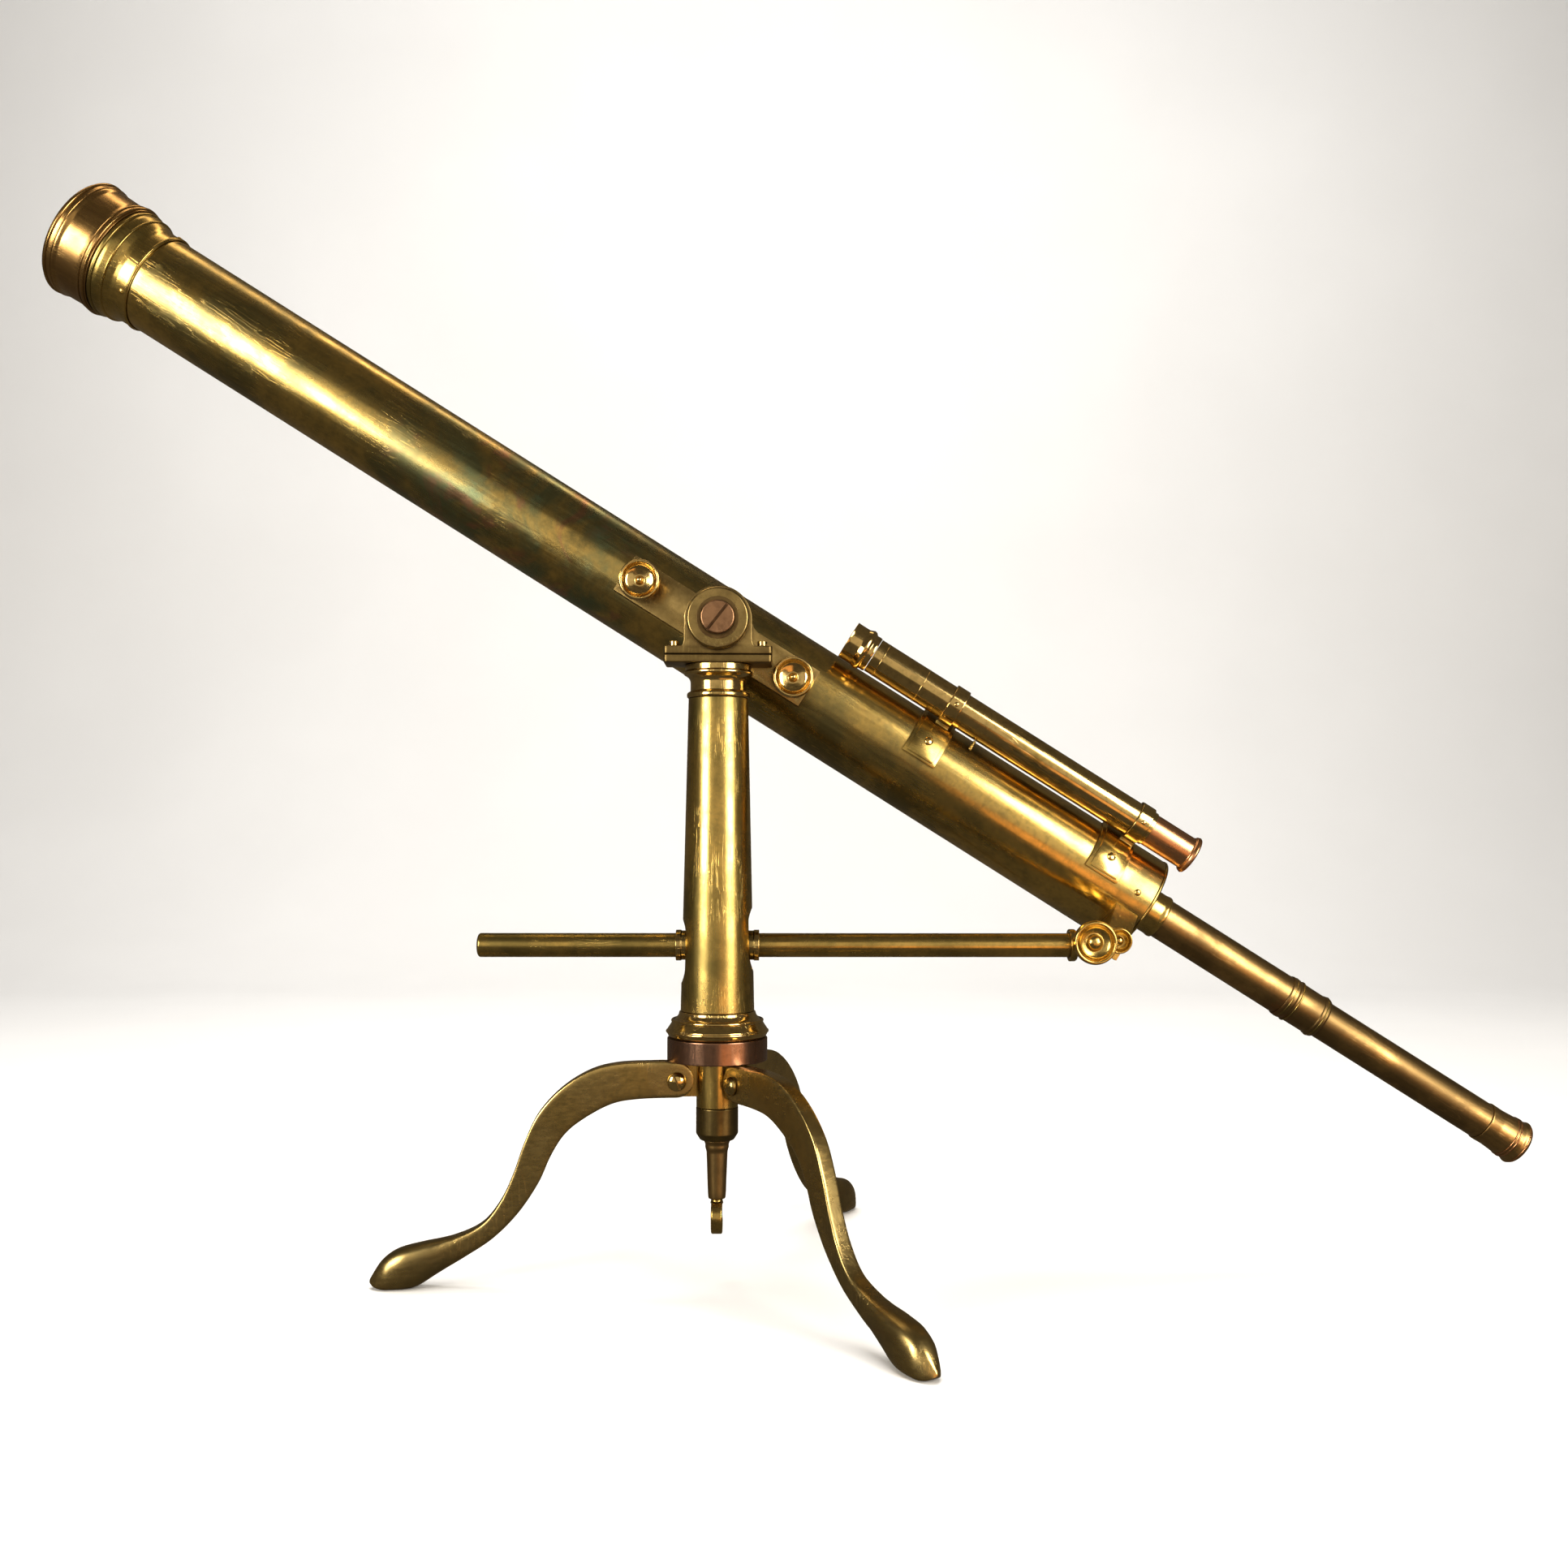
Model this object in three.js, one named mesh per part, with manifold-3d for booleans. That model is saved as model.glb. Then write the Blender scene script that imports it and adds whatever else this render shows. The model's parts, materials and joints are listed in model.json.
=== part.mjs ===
// Brass library telescope: a refractor with a finder, side-mounted on a pillar with three folding legs.
// Millimetres, +Z up. While it is built, the pillar stands on the axis x = 0, y = 0 with its feet at z = 0.
// The front of the instrument, where the trunnion screw shows, faces -Y. The eyepiece points to +X.
import * as THREE from 'three';
import { mergeVertices } from 'three/addons/utils/BufferGeometryUtils.js';
import Module from 'manifold-3d';

const wasm = await Module();
wasm.setup();

// ---- Driving dimensions -----------------------------------------------------------------------------

const GAP = 0.3;                      // running and joint clearance
const FINE = 20;                      // sides of the large turned pieces
const MEDIUM = 16;                    // sides of the middle-sized ones
const COARSE = 8;                     // sides of screws and pins

const PIVOT_HEIGHT = 522;             // altitude axis above the floor
const ELEVATION = 32.2;               // degrees, optical axis above the horizon at rest
const TUBE_OFFSET_Y = 72;             // tube axis behind the pillar axis
const TUBE_DROP = 4;                  // tube axis below the altitude axis, square to the tube

const TUBE_RADIUS = 41.5;
const TUBE_WALL = 1.5;
const TUBE_FRONT = 575;               // stations along the optical axis, from the altitude axis
const TUBE_BACK = -420;
const CELL_BACK = 562;
const CELL_SHOULDER = 597;
const CELL_FRONT = 616;
const LENS_SEAT = 588;
const CLEAR_RADIUS = 38.1;            // 3 inch clear aperture
const LENS_RADIUS = 40.4;
const HOOD_FRONT = 639;
const HOOD_BORE = 46.8;

const SLEEVE_END = -443;
const DRAW_1_RADIUS = 17.3;
const DRAW_1_END = -571.7;
const DRAW_1_INNER_END = -345;
const FERRULE_FRONT = -564.6;
const FERRULE_END = -602.3;
const DRAW_2_RADIUS = 16;
const DRAW_2_END = -763.5;
const DRAW_2_INNER_END = -450;
const EYECUP_END = -801;

const FINDER_RADIUS = 14.8;
const FINDER_UP = 54;                 // finder axis from the tube axis, square to it and upward
const FINDER_FORWARD = 32;            // and toward the front of the instrument
const FINDER_FRONT = -94.4;
const FINDER_CELL_BACK = -118.7;
const FINDER_TUBE_BACK = -388;
const FINDER_EYE_END = -430;
const COLLAR_STATIONS = [-197.8, -378.5];
const SADDLE_STATIONS = [-194.8, -372];
const SADDLE_LENGTH = 30;

const BAR_LENGTH = 178;
const BAR_WIDTH = 33.5;
const BAR_FRONT_Y = 21.5;
const BOSS_RADIUS = 27;
const AXLE_RADIUS = 11.8;
const THUMB_KNOB_STATION = 73.5;
const THUMB_KNOB_RADIUS = 17;

const BLOCK_WIDTH = 54;
const BLOCK_HALF_DEPTH = 20;
const FLANGE_WIDTH = 86;
const FLANGE_THICKNESS = 6.4;
const TOP_PLATE_BOTTOM = 488;
const CAPITAL_BOTTOM = 461;
const PILLAR_TOP_RADIUS = 23.8;
const PILLAR_FOOT_RADIUS = 29.2;
const PILLAR_FOOT = 213;
const PILLAR_WALL = 3;
const MOULDING_BOTTOM = 192.3;
const RING_RADIUS = 39.7;
const RING_BOTTOM = 174.3;
const HUB_RADIUS = 16.5;
const HUB_BOTTOM = 137.3;
const NUT_BOTTOM = 111.5;
const STEM_BOTTOM = 65;
const SPINDLE_RADIUS = 10;
const SPINDLE_TOP = 232;

const LEG_AZIMUTHS = { left: 183.4, front: -56.6, rear: 63.4 };
const LEG_PIVOT_RADIUS = 32;
const LEG_PIVOT_HEIGHT = 158;
const LEG_THICKNESS = 13;
const FOOT_WIDTH = 25;
const TONGUE_THICKNESS = 5;
const FORK_SLOT = 5.8;
const FORK_DEPTH = 46;

const ROD_HEIGHT = 264.5;
const ROD_RADIUS = 9.5;
const ROD_LEFT = -190;
const ROD_RIGHT = 283;
const ROD_PIVOT_X = 296.6;
const ROD_PIVOT_HEIGHT = 268;
const LINK_PIN_X = 320.5;
const GUIDE_HALF_LENGTH = 33;
const GUIDE_RADIUS = 11.6;
const SLOT_WIDTH = 26;
const SLOT_REACH_HIGH = 30;           // slot half that the tilting guide needs most
const SLOT_REACH_LOW = 21;

const deg = THREE.MathUtils.degToRad;

// ---- Solids ------------------------------------------------------------------------------------------

function signedVolume(geometry) {
  const p = geometry.attributes.position;
  const a = new THREE.Vector3();
  const b = new THREE.Vector3();
  const c = new THREE.Vector3();
  let sum = 0;
  for (let i = 0; i < geometry.index.count; i += 3) {
    a.fromBufferAttribute(p, geometry.index.getX(i));
    b.fromBufferAttribute(p, geometry.index.getX(i + 1));
    c.fromBufferAttribute(p, geometry.index.getX(i + 2));
    sum += a.dot(b.cross(c)) / 6;
  }
  return sum;
}

// Merges shared vertices, drops collapsed triangles and turns the faces outward.
function closed(source) {
  const bare = source.clone();
  bare.deleteAttribute('normal');
  bare.deleteAttribute('uv');
  const merged = mergeVertices(bare, 1e-4);
  const kept = [];
  for (let i = 0; i < merged.index.count; i += 3) {
    const [a, b, c] = [0, 1, 2].map((k) => merged.index.getX(i + k));
    if (a !== b && b !== c && c !== a) kept.push(a, b, c);
  }
  merged.setIndex(new THREE.BufferAttribute(new Uint32Array(kept), 1));
  if (signedVolume(merged) < 0) {
    merged.setIndex(new THREE.BufferAttribute(new Uint32Array(kept.reverse()), 1));
  }
  return merged;
}

function toSolid(geometry) {
  const shell = closed(geometry);
  const mesh = new wasm.Mesh({
    numProp: 3,
    vertProperties: new Float32Array(shell.attributes.position.array),
    triVerts: new Uint32Array(shell.index.array),
  });
  return new wasm.Manifold(mesh);
}

function toGeometry(solid) {
  const mesh = solid.getMesh();
  const geometry = new THREE.BufferGeometry();
  geometry.setAttribute('position', new THREE.BufferAttribute(new Float32Array(mesh.vertProperties), 3));
  geometry.setIndex(new THREE.BufferAttribute(new Uint32Array(mesh.triVerts), 1));
  return geometry;
}

function join(...geometries) {
  return toGeometry(geometries.map(toSolid).reduce((sum, next) => sum.add(next)));
}

function cut(geometry, ...tools) {
  return toGeometry(tools.map(toSolid).reduce((rest, tool) => rest.subtract(tool), toSolid(geometry)));
}

function common(first, second) {
  return toGeometry(toSolid(first).intersect(toSolid(second)));
}

// A solid of revolution about +Z from [radius, z] points.
function turned(profile, sides = MEDIUM) {
  const points = profile.map(([r, z]) => new THREE.Vector2(r, z));
  return new THREE.LatheGeometry(points, sides).rotateX(Math.PI / 2);
}

function rod(radius, from, to, sides = MEDIUM) {
  return turned([[0, from], [radius, from], [radius, to], [0, to]], sides);
}

function ring(outer, inner, from, to, sides = MEDIUM) {
  return turned([[inner, from], [outer, from], [outer, to], [inner, to], [inner, from]], sides);
}

function block(low, high) {
  const size = high.map((value, i) => value - low[i]);
  const centre = high.map((value, i) => (value + low[i]) / 2);
  return new THREE.BoxGeometry(...size).translate(...centre);
}

// Turns +Z to the front, -Y.
function facingFront(geometry) {
  return geometry.rotateX(Math.PI / 2);
}

// Turns +Z to +X.
function facingRight(geometry) {
  return geometry.rotateY(Math.PI / 2);
}

// Extrudes an outline drawn in x and z, from the y of its back to the y of its front.
function slab(shape, back, front, curveSegments = 8) {
  const depth = back - front;
  const flat = new THREE.ExtrudeGeometry(shape, { depth, bevelEnabled: false, curveSegments });
  return flat.rotateX(Math.PI / 2).translate(0, back, 0);
}

// A part-turn of a ring about +Z. Angles in degrees from the front, -Y, toward +X.
function arcPlate(outer, inner, startAngle, endAngle, from, to) {
  const shape = new THREE.Shape();
  const start = deg(startAngle - 90);
  const end = deg(endAngle - 90);
  shape.absarc(0, 0, outer, start, end, false);
  shape.absarc(0, 0, inner, end, start, true);
  shape.closePath();
  const depth = to - from;
  const plate = new THREE.ExtrudeGeometry(shape, { depth, bevelEnabled: false, curveSegments: 8 });
  return plate.translate(0, 0, from);
}

// A cheese-head or round-head screw along +Z, its head above z = 0 and its shank below.
function screw(headRadius, headHeight, shankRadius, shankLength, domed = false) {
  const crown = domed ? headHeight * 0.45 : headHeight * 0.9;
  const body = turned([
    [0, -shankLength],
    [shankRadius, -shankLength],
    [shankRadius, 0],
    [headRadius, 0],
    [headRadius, crown],
    [headRadius * (domed ? 0.7 : 0.93), headHeight * (domed ? 0.85 : 1)],
    [0, headHeight],
  ], COARSE);
  const slotHalf = headRadius * 0.11;
  const slotReach = headRadius * 1.2;
  const slot = block([-slotHalf, -slotReach, headHeight * 0.6], [slotHalf, slotReach, headHeight * 2]);
  return cut(body, slot);
}

// A dished knob along +Z with a raised centre button and a threaded shank below z = 0.
function dishedKnob(radius, height, shankRadius, shankLength, buttonRadius) {
  return turned([
    [0, -shankLength],
    [shankRadius, -shankLength],
    [shankRadius, 0],
    [radius * 0.55, 0],
    [radius * 0.58, height * 0.3],
    [radius * 0.97, height * 0.5],
    [radius, height * 0.8],
    [radius * 0.94, height],
    [radius * 0.84, height],
    [radius * 0.7, height * 0.72],
    [buttonRadius, height * 0.58],
    [buttonRadius * 0.9, height * 0.8],
    [buttonRadius * 0.5, height * 0.92],
    [0, height * 0.95],
  ], MEDIUM);
}

// A lens about +Z: rim from z = 0 to its edge thickness, each face bulging by its own sagitta.
function lens(radius, edge, backBulge, frontBulge, sides = MEDIUM) {
  const steps = [1, 0.55];
  const back = steps.map((f) => [radius * f, -backBulge * (1 - f * f)]).reverse();
  const front = steps.map((f) => [radius * f, edge + frontBulge * (1 - f * f)]);
  return turned([[0, -backBulge], ...back, ...front, [0, edge + frontBulge]], sides);
}

// ---- Groups and materials ----------------------------------------------------------------------------

const root = new THREE.Group();
const stand = new THREE.Group();
const telescope = new THREE.Group();
const tubeAxis = new THREE.Group();
const finderAxis = new THREE.Group();
telescope.position.set(0, TUBE_OFFSET_Y, PIVOT_HEIGHT);
telescope.rotation.y = deg(ELEVATION - 90);
tubeAxis.position.set(-TUBE_DROP, 0, 0);
finderAxis.position.set(FINDER_UP, -FINDER_FORWARD, 0);
tubeAxis.add(finderAxis);
telescope.add(tubeAxis);
root.add(stand, telescope);

const finishes = {
  brass: { color: 0xb08d3c, roughness: 0.32, metalness: 1 },
  agedBrass: { color: 0x8a6a2c, roughness: 0.42, metalness: 1 },
  bronze: { color: 0x7a4f33, roughness: 0.45, metalness: 1 },
  gunmetal: { color: 0x80604f, roughness: 0.35, metalness: 1 },
  glass: { color: 0xcfe0dc, roughness: 0.05, metalness: 0 },
};

function add(group, name, geometry, finish = 'brass') {
  const material = new THREE.MeshStandardMaterial(finishes[finish]);
  const mesh = new THREE.Mesh(closed(geometry), material);
  mesh.name = name;
  group.add(mesh);
  return mesh;
}

// ---- Tripod hub and weight hook ----------------------------------------------------------------------

function legTongue(azimuth) {
  const outline = new THREE.Shape();
  const half = 12.5;
  outline.moveTo(HUB_RADIUS - 6, LEG_PIVOT_HEIGHT - half);
  outline.lineTo(LEG_PIVOT_RADIUS, LEG_PIVOT_HEIGHT - half);
  outline.absarc(LEG_PIVOT_RADIUS, LEG_PIVOT_HEIGHT, half, -Math.PI / 2, Math.PI / 2, false);
  outline.lineTo(HUB_RADIUS - 6, LEG_PIVOT_HEIGHT + half);
  outline.closePath();
  const plate = slab(outline, TONGUE_THICKNESS / 2, -TONGUE_THICKNESS / 2);
  const hole = facingFront(rod(3.3, -8, 8, COARSE)).translate(LEG_PIVOT_RADIUS, 0, LEG_PIVOT_HEIGHT);
  return cut(plate, hole).rotateZ(deg(azimuth));
}

function tripodHub() {
  const core = rod(HUB_RADIUS, HUB_BOTTOM, RING_BOTTOM - GAP);
  const arms = Object.values(LEG_AZIMUTHS).map(legTongue);
  return cut(join(core, ...arms), rod(SPINDLE_RADIUS - 1.7, HUB_BOTTOM - 1, RING_BOTTOM + 1));
}

function hubNut() {
  return turned([
    [0, NUT_BOTTOM],
    [13.5, NUT_BOTTOM],
    [HUB_RADIUS + 0.2, NUT_BOTTOM + 5],
    [HUB_RADIUS + 0.2, HUB_BOTTOM - GAP],
    [SPINDLE_RADIUS - 1.7, HUB_BOTTOM - GAP],
    [SPINDLE_RADIUS - 1.7, NUT_BOTTOM + 8],
    [0, NUT_BOTTOM + 8],
  ]);
}

function hookStem() {
  const top = NUT_BOTTOM - GAP;
  return turned([
    [0, STEM_BOTTOM],
    [6.8, STEM_BOTTOM],
    [7.2, STEM_BOTTOM + 5],
    [8.4, top - 9],
    [9.4, top - 6],
    [9.4, top - 3],
    [11, top],
    [0, top],
  ]);
}

// An open hook bent in the y-z plane, as wide as a strap.
function weightHook() {
  const [outer, inner, width] = [13.5, 8.5, 9];
  const [start, end] = [deg(100), deg(385)];
  const shape = new THREE.Shape();
  shape.absarc(0, 0, outer, start, end, false);
  shape.absarc(0, 0, inner, end, start, true);
  shape.closePath();
  const strap = new THREE.ExtrudeGeometry(shape, { depth: width, bevelEnabled: false, curveSegments: 14 });
  strap.translate(0, 0, -width / 2).rotateX(Math.PI / 2).rotateZ(Math.PI / 2);
  const neck = block([-width / 2, -5, outer - 4], [width / 2, 5, outer + 0.5]);
  return join(strap, neck).translate(0, 0, STEM_BOTTOM - GAP - outer - 0.5);
}

// The pivot screw lies square to its leg, with a slotted head on one side and a riveted dome on the other.
function legScrew(azimuth) {
  const reach = LEG_THICKNESS / 2 + GAP;
  const head = screw(7.5, 5.2, 3, 2 * reach, true).translate(0, 0, reach);
  const dome = turned([[0, 0], [7.2, 0], [7.2, 2], [5, 4.2], [0, 5]], COARSE).rotateX(Math.PI);
  const pin = join(head, dome.translate(0, 0, -reach + 0.01));
  return pin.rotateX(-Math.PI / 2).translate(LEG_PIVOT_RADIUS, 0, LEG_PIVOT_HEIGHT).rotateZ(deg(azimuth));
}

add(stand, 'tripod_hub', tripodHub());
add(stand, 'collar_ring', ring(RING_RADIUS, SPINDLE_RADIUS + GAP, RING_BOTTOM, MOULDING_BOTTOM - GAP, FINE),
  'gunmetal');
add(stand, 'azimuth_spindle', turned([
  [0, NUT_BOTTOM + 9],
  [SPINDLE_RADIUS - 2, NUT_BOTTOM + 9],
  [SPINDLE_RADIUS - 2, RING_BOTTOM],
  [SPINDLE_RADIUS, RING_BOTTOM],
  [SPINDLE_RADIUS, SPINDLE_TOP],
  [0, SPINDLE_TOP],
]));
add(stand, 'hub_nut', hubNut(), 'agedBrass');
add(stand, 'hook_stem', hookStem(), 'agedBrass');
add(stand, 'weight_hook', weightHook());

// ---- Folding legs ------------------------------------------------------------------------------------

// Side view of a leg in radius and height: the upper edge runs out to the toe, the lower edge back.
const LEG_UPPER = [[78, 173.5], [100, 167.5], [122, 153.5], [140, 134], [151, 111], [159, 88], [169, 66.5],
  [183, 49.5], [204, 40], [229, 35], [248, 30], [260, 21.5]];
const LEG_TOE = [268, 9];
const LEG_LOWER = [[256, 0], [238, 0], [217, 11], [196, 23.5], [174, 38], [155, 57], [139.5, 80],
  [130, 101], [119, 118], [103, 130.5], [82, 141], [61, 144.3]];

// Half-widths of a leg seen from above, by radius: flat cheeks, a rounded ankle and a bulbous foot.
const LEG_PLAN = [[18, 6.5], [160, 6.5], [185, 7.2], [208, 8.8], [228, 11.4], [243, 12.5], [256, 11],
  [264, 7.5], [269, 1.5]];

function legOutline() {
  const rootRadius = 13;
  const top = 15.5;
  const shape = new THREE.Shape();
  shape.moveTo(LEG_PIVOT_RADIUS, LEG_PIVOT_HEIGHT + top);
  shape.lineTo(LEG_UPPER[0][0] - 14, LEG_UPPER[0][1]);
  shape.splineThru([...LEG_UPPER, LEG_TOE].map(([r, z]) => new THREE.Vector2(r, z)));
  shape.lineTo(...LEG_LOWER[0]);
  shape.lineTo(...LEG_LOWER[1]);
  shape.splineThru(LEG_LOWER.slice(2).map(([r, z]) => new THREE.Vector2(r, z)));
  shape.lineTo(LEG_PIVOT_RADIUS, LEG_PIVOT_HEIGHT - rootRadius);
  shape.absarc(LEG_PIVOT_RADIUS, LEG_PIVOT_HEIGHT, rootRadius, -Math.PI / 2, -Math.PI * 1.5, true);
  shape.closePath();
  return shape;
}

function legPlan() {
  const widest = 2 * Math.max(...LEG_PLAN.map(([, w]) => w));
  const points = LEG_PLAN.map(([r, w]) => new THREE.Vector2(r, w * FOOT_WIDTH / widest));
  const curve = new THREE.SplineCurve(points);
  const side = curve.getPoints(20);
  const other = side.map((p) => new THREE.Vector2(p.x, -p.y)).reverse();
  return new THREE.Shape([...side, ...other]);
}

function leg(azimuth) {
  const profile = slab(legOutline(), FOOT_WIDTH, -FOOT_WIDTH, 2);
  const plan = new THREE.ExtrudeGeometry(legPlan(), { depth: 200, bevelEnabled: false }).translate(0, 0, -5);
  const slot = block([5, -FORK_SLOT / 2, 120], [FORK_DEPTH, FORK_SLOT / 2, 190]);
  const hole = facingFront(rod(3.3, -20, 20, COARSE)).translate(LEG_PIVOT_RADIUS, 0, LEG_PIVOT_HEIGHT);
  return cut(common(profile, plan), slot, hole).rotateZ(deg(azimuth));
}

for (const [side, azimuth] of Object.entries(LEG_AZIMUTHS)) {
  add(stand, `leg_${side}`, leg(azimuth));
  add(stand, `leg_screw_${side}`, legScrew(azimuth));
}

// ---- Pillar and bearing ------------------------------------------------------------------------------

// Turned foot of the pillar, bored for the azimuth spindle, with a spigot inside the tube.
function baseMoulding() {
  const bottom = MOULDING_BOTTOM;
  const bore = SPINDLE_RADIUS + GAP;
  const spigot = PILLAR_FOOT_RADIUS - PILLAR_WALL - GAP - 0.5;
  return turned([
    [bore, bottom],
    [38, bottom],
    [39.7, bottom + 3],
    [39.7, bottom + 6.5],
    [37.6, bottom + 9.5],
    [37, bottom + 10.5],
    [35.6, bottom + 13],
    [32.4, bottom + 15.5],
    [30.6, bottom + 18],
    [30.2, PILLAR_FOOT - GAP],
    [spigot, PILLAR_FOOT - GAP],
    [spigot - 1, PILLAR_FOOT + 12],
    [bore, PILLAR_FOOT + 12],
    [bore, bottom],
  ], FINE);
}

// A tapered tube with an upright slot on each side, where the rod guide tilts.
function pillarTube() {
  const top = CAPITAL_BOTTOM - GAP;
  const tube = turned([
    [PILLAR_FOOT_RADIUS - PILLAR_WALL, PILLAR_FOOT],
    [PILLAR_FOOT_RADIUS, PILLAR_FOOT],
    [PILLAR_TOP_RADIUS, top],
    [PILLAR_TOP_RADIUS - PILLAR_WALL, top],
    [PILLAR_FOOT_RADIUS - PILLAR_WALL, PILLAR_FOOT],
  ], FINE);
  const half = SLOT_WIDTH / 2;
  const right = block([15, -half, ROD_HEIGHT - SLOT_REACH_LOW], [40, half, ROD_HEIGHT + SLOT_REACH_HIGH]);
  const left = block([-40, -half, ROD_HEIGHT - SLOT_REACH_HIGH], [-15, half, ROD_HEIGHT + SLOT_REACH_LOW]);
  return cut(tube, right, left);
}

// The turned head of the pillar, with a flat at the back where the trunnion bar swings past.
function capital() {
  const [low, high] = [CAPITAL_BOTTOM, TOP_PLATE_BOTTOM - GAP];
  const flat = block([-40, BAR_FRONT_Y - 1, low + 15], [40, 60, high + 1]);
  const head = turned([
    [12, low],
    [24.6, low],
    [25, low + 2.5],
    [24.4, low + 5],
    [22.4, low + 5.5],
    [22.4, low + 13],
    [24.4, low + 16.5],
    [27.6, low + 19],
    [27.6, low + 21],
    [26.5, low + 21.5],
    [26.5, high],
    [12, high],
    [12, low],
  ], FINE);
  return cut(head, flat);
}

function bearingBlock() {
  const flangeBottom = TOP_PLATE_BOTTOM + FLANGE_THICKNESS + GAP;
  const half = BLOCK_WIDTH / 2;
  const outline = new THREE.Shape();
  outline.moveTo(-half, flangeBottom + 1);
  outline.lineTo(half, flangeBottom + 1);
  outline.lineTo(half, PIVOT_HEIGHT);
  outline.absarc(0, PIVOT_HEIGHT, half, 0, Math.PI, false);
  outline.closePath();
  const cheek = slab(outline, BLOCK_HALF_DEPTH, -BLOCK_HALF_DEPTH, 16);
  const halfFlange = FLANGE_WIDTH / 2;
  const flange = block([-halfFlange, -BLOCK_HALF_DEPTH, flangeBottom],
    [halfFlange, BLOCK_HALF_DEPTH, flangeBottom + FLANGE_THICKNESS]);
  const bore = facingFront(rod(AXLE_RADIUS + GAP, -30, 30)).translate(0, 0, PIVOT_HEIGHT);
  return cut(join(cheek, flange), bore, ...blockScrewHoles());
}

function blockScrewHoles() {
  return blockScrewPlaces((x, y) => rod(2.3, 470, 510, COARSE).translate(x, y, 0));
}

function blockScrewPlaces(make) {
  return [-35, 35].flatMap((x) => [-12, 12].map((y) => make(x, y)));
}

function topPlate() {
  const half = FLANGE_WIDTH / 2;
  const plate = block([-half, -BLOCK_HALF_DEPTH, TOP_PLATE_BOTTOM],
    [half, BLOCK_HALF_DEPTH, TOP_PLATE_BOTTOM + FLANGE_THICKNESS]);
  return cut(plate, ...blockScrewHoles());
}

const FLANGE_TOP = TOP_PLATE_BOTTOM + 2 * FLANGE_THICKNESS + GAP;

add(stand, 'base_moulding', baseMoulding());
add(stand, 'pillar_tube', pillarTube());
add(stand, 'pillar_capital', capital());
add(stand, 'pillar_top_plate', topPlate(), 'agedBrass');
add(stand, 'bearing_block', bearingBlock(), 'agedBrass');
blockScrewPlaces((x, y) => screw(3.9, 4, 2, 12).translate(x, y, FLANGE_TOP + GAP))
  .forEach((geometry, i) => add(stand, `block_screw_${i + 1}`, geometry));

// ---- Trunnion ----------------------------------------------------------------------------------------

const BAR_FRONT = BAR_FRONT_Y - TUBE_OFFSET_Y;

// The flat bar with its round boss, its back hollowed to the tube, and the altitude axle in one piece.
function trunnionBar() {
  const low = -TUBE_DROP - BAR_WIDTH / 2;
  const high = -TUBE_DROP + BAR_WIDTH / 2;
  const end = BAR_LENGTH / 2;
  const bar = block([low, BAR_FRONT, -end], [high, BAR_FRONT + 13, end]);
  const boss = facingFront(rod(BOSS_RADIUS, -BAR_FRONT - 13, -BAR_FRONT));
  const axle = facingFront(rod(AXLE_RADIUS, -BAR_FRONT - 2, TUBE_OFFSET_Y + BLOCK_HALF_DEPTH));
  const tubeSpace = rod(TUBE_RADIUS + GAP, -200, 200, FINE).translate(-TUBE_DROP, 0, 0);
  const thread = facingFront(rod(6.6, TUBE_OFFSET_Y, TUBE_OFFSET_Y + 40, COARSE));
  const knobHoles = [-1, 1].map((side) => facingFront(rod(4.5, 30, 60, COARSE))
    .translate(-TUBE_DROP, 0, side * THUMB_KNOB_STATION));
  return cut(join(bar, boss, axle), tubeSpace, thread, ...knobHoles);
}

const DISC_BACK = TUBE_OFFSET_Y + BLOCK_HALF_DEPTH + GAP;
const DISC_THICKNESS = 9.5;

function trunnionDisc() {
  const front = DISC_BACK + DISC_THICKNESS;
  const disc = turned([
    [6.4, DISC_BACK],
    [24.6, DISC_BACK],
    [24.6, front - 1.5],
    [23.2, front],
    [6.4, front],
    [6.4, DISC_BACK],
  ]);
  return facingFront(disc);
}

add(telescope, 'trunnion_bar', trunnionBar(), 'agedBrass');
add(telescope, 'trunnion_disc', trunnionDisc(), 'agedBrass');

const TRUNNION_SCREW_SEAT = DISC_BACK + DISC_THICKNESS + GAP;
const trunnionScrew = screw(13.3, 5, 6, 24).rotateZ(deg(70)).translate(0, 0, TRUNNION_SCREW_SEAT);
add(telescope, 'trunnion_screw', facingFront(trunnionScrew), 'bronze');

for (const [name, side] of [['thumb_knob_upper', 1], ['thumb_knob_lower', -1]]) {
  const knob = dishedKnob(THUMB_KNOB_RADIUS, 16, 4, 7, 3.4).translate(0, 0, -BAR_FRONT + GAP);
  add(telescope, name, facingFront(knob).translate(-TUBE_DROP, 0, side * THUMB_KNOB_STATION));
}

// ---- Main tube and objective -------------------------------------------------------------------------

const TUBE_BORE = TUBE_RADIUS - TUBE_WALL;

function objectiveCell() {
  return turned([
    [TUBE_RADIUS + GAP, CELL_BACK],
    [42.7, CELL_BACK],
    [42.7, CELL_BACK + 12],
    [43.4, CELL_BACK + 16],
    [45.6, CELL_BACK + 22],
    [47.2, CELL_BACK + 28],
    [47.4, CELL_SHOULDER],
    [46.3, CELL_SHOULDER],
    [46.3, CELL_FRONT],
    [LENS_RADIUS + GAP, CELL_FRONT],
    [LENS_RADIUS + GAP, LENS_SEAT],
    [CLEAR_RADIUS, LENS_SEAT],
    [CLEAR_RADIUS, TUBE_FRONT + GAP],
    [TUBE_RADIUS + GAP, TUBE_FRONT + GAP],
    [TUBE_RADIUS + GAP, CELL_BACK],
  ], FINE);
}

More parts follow.
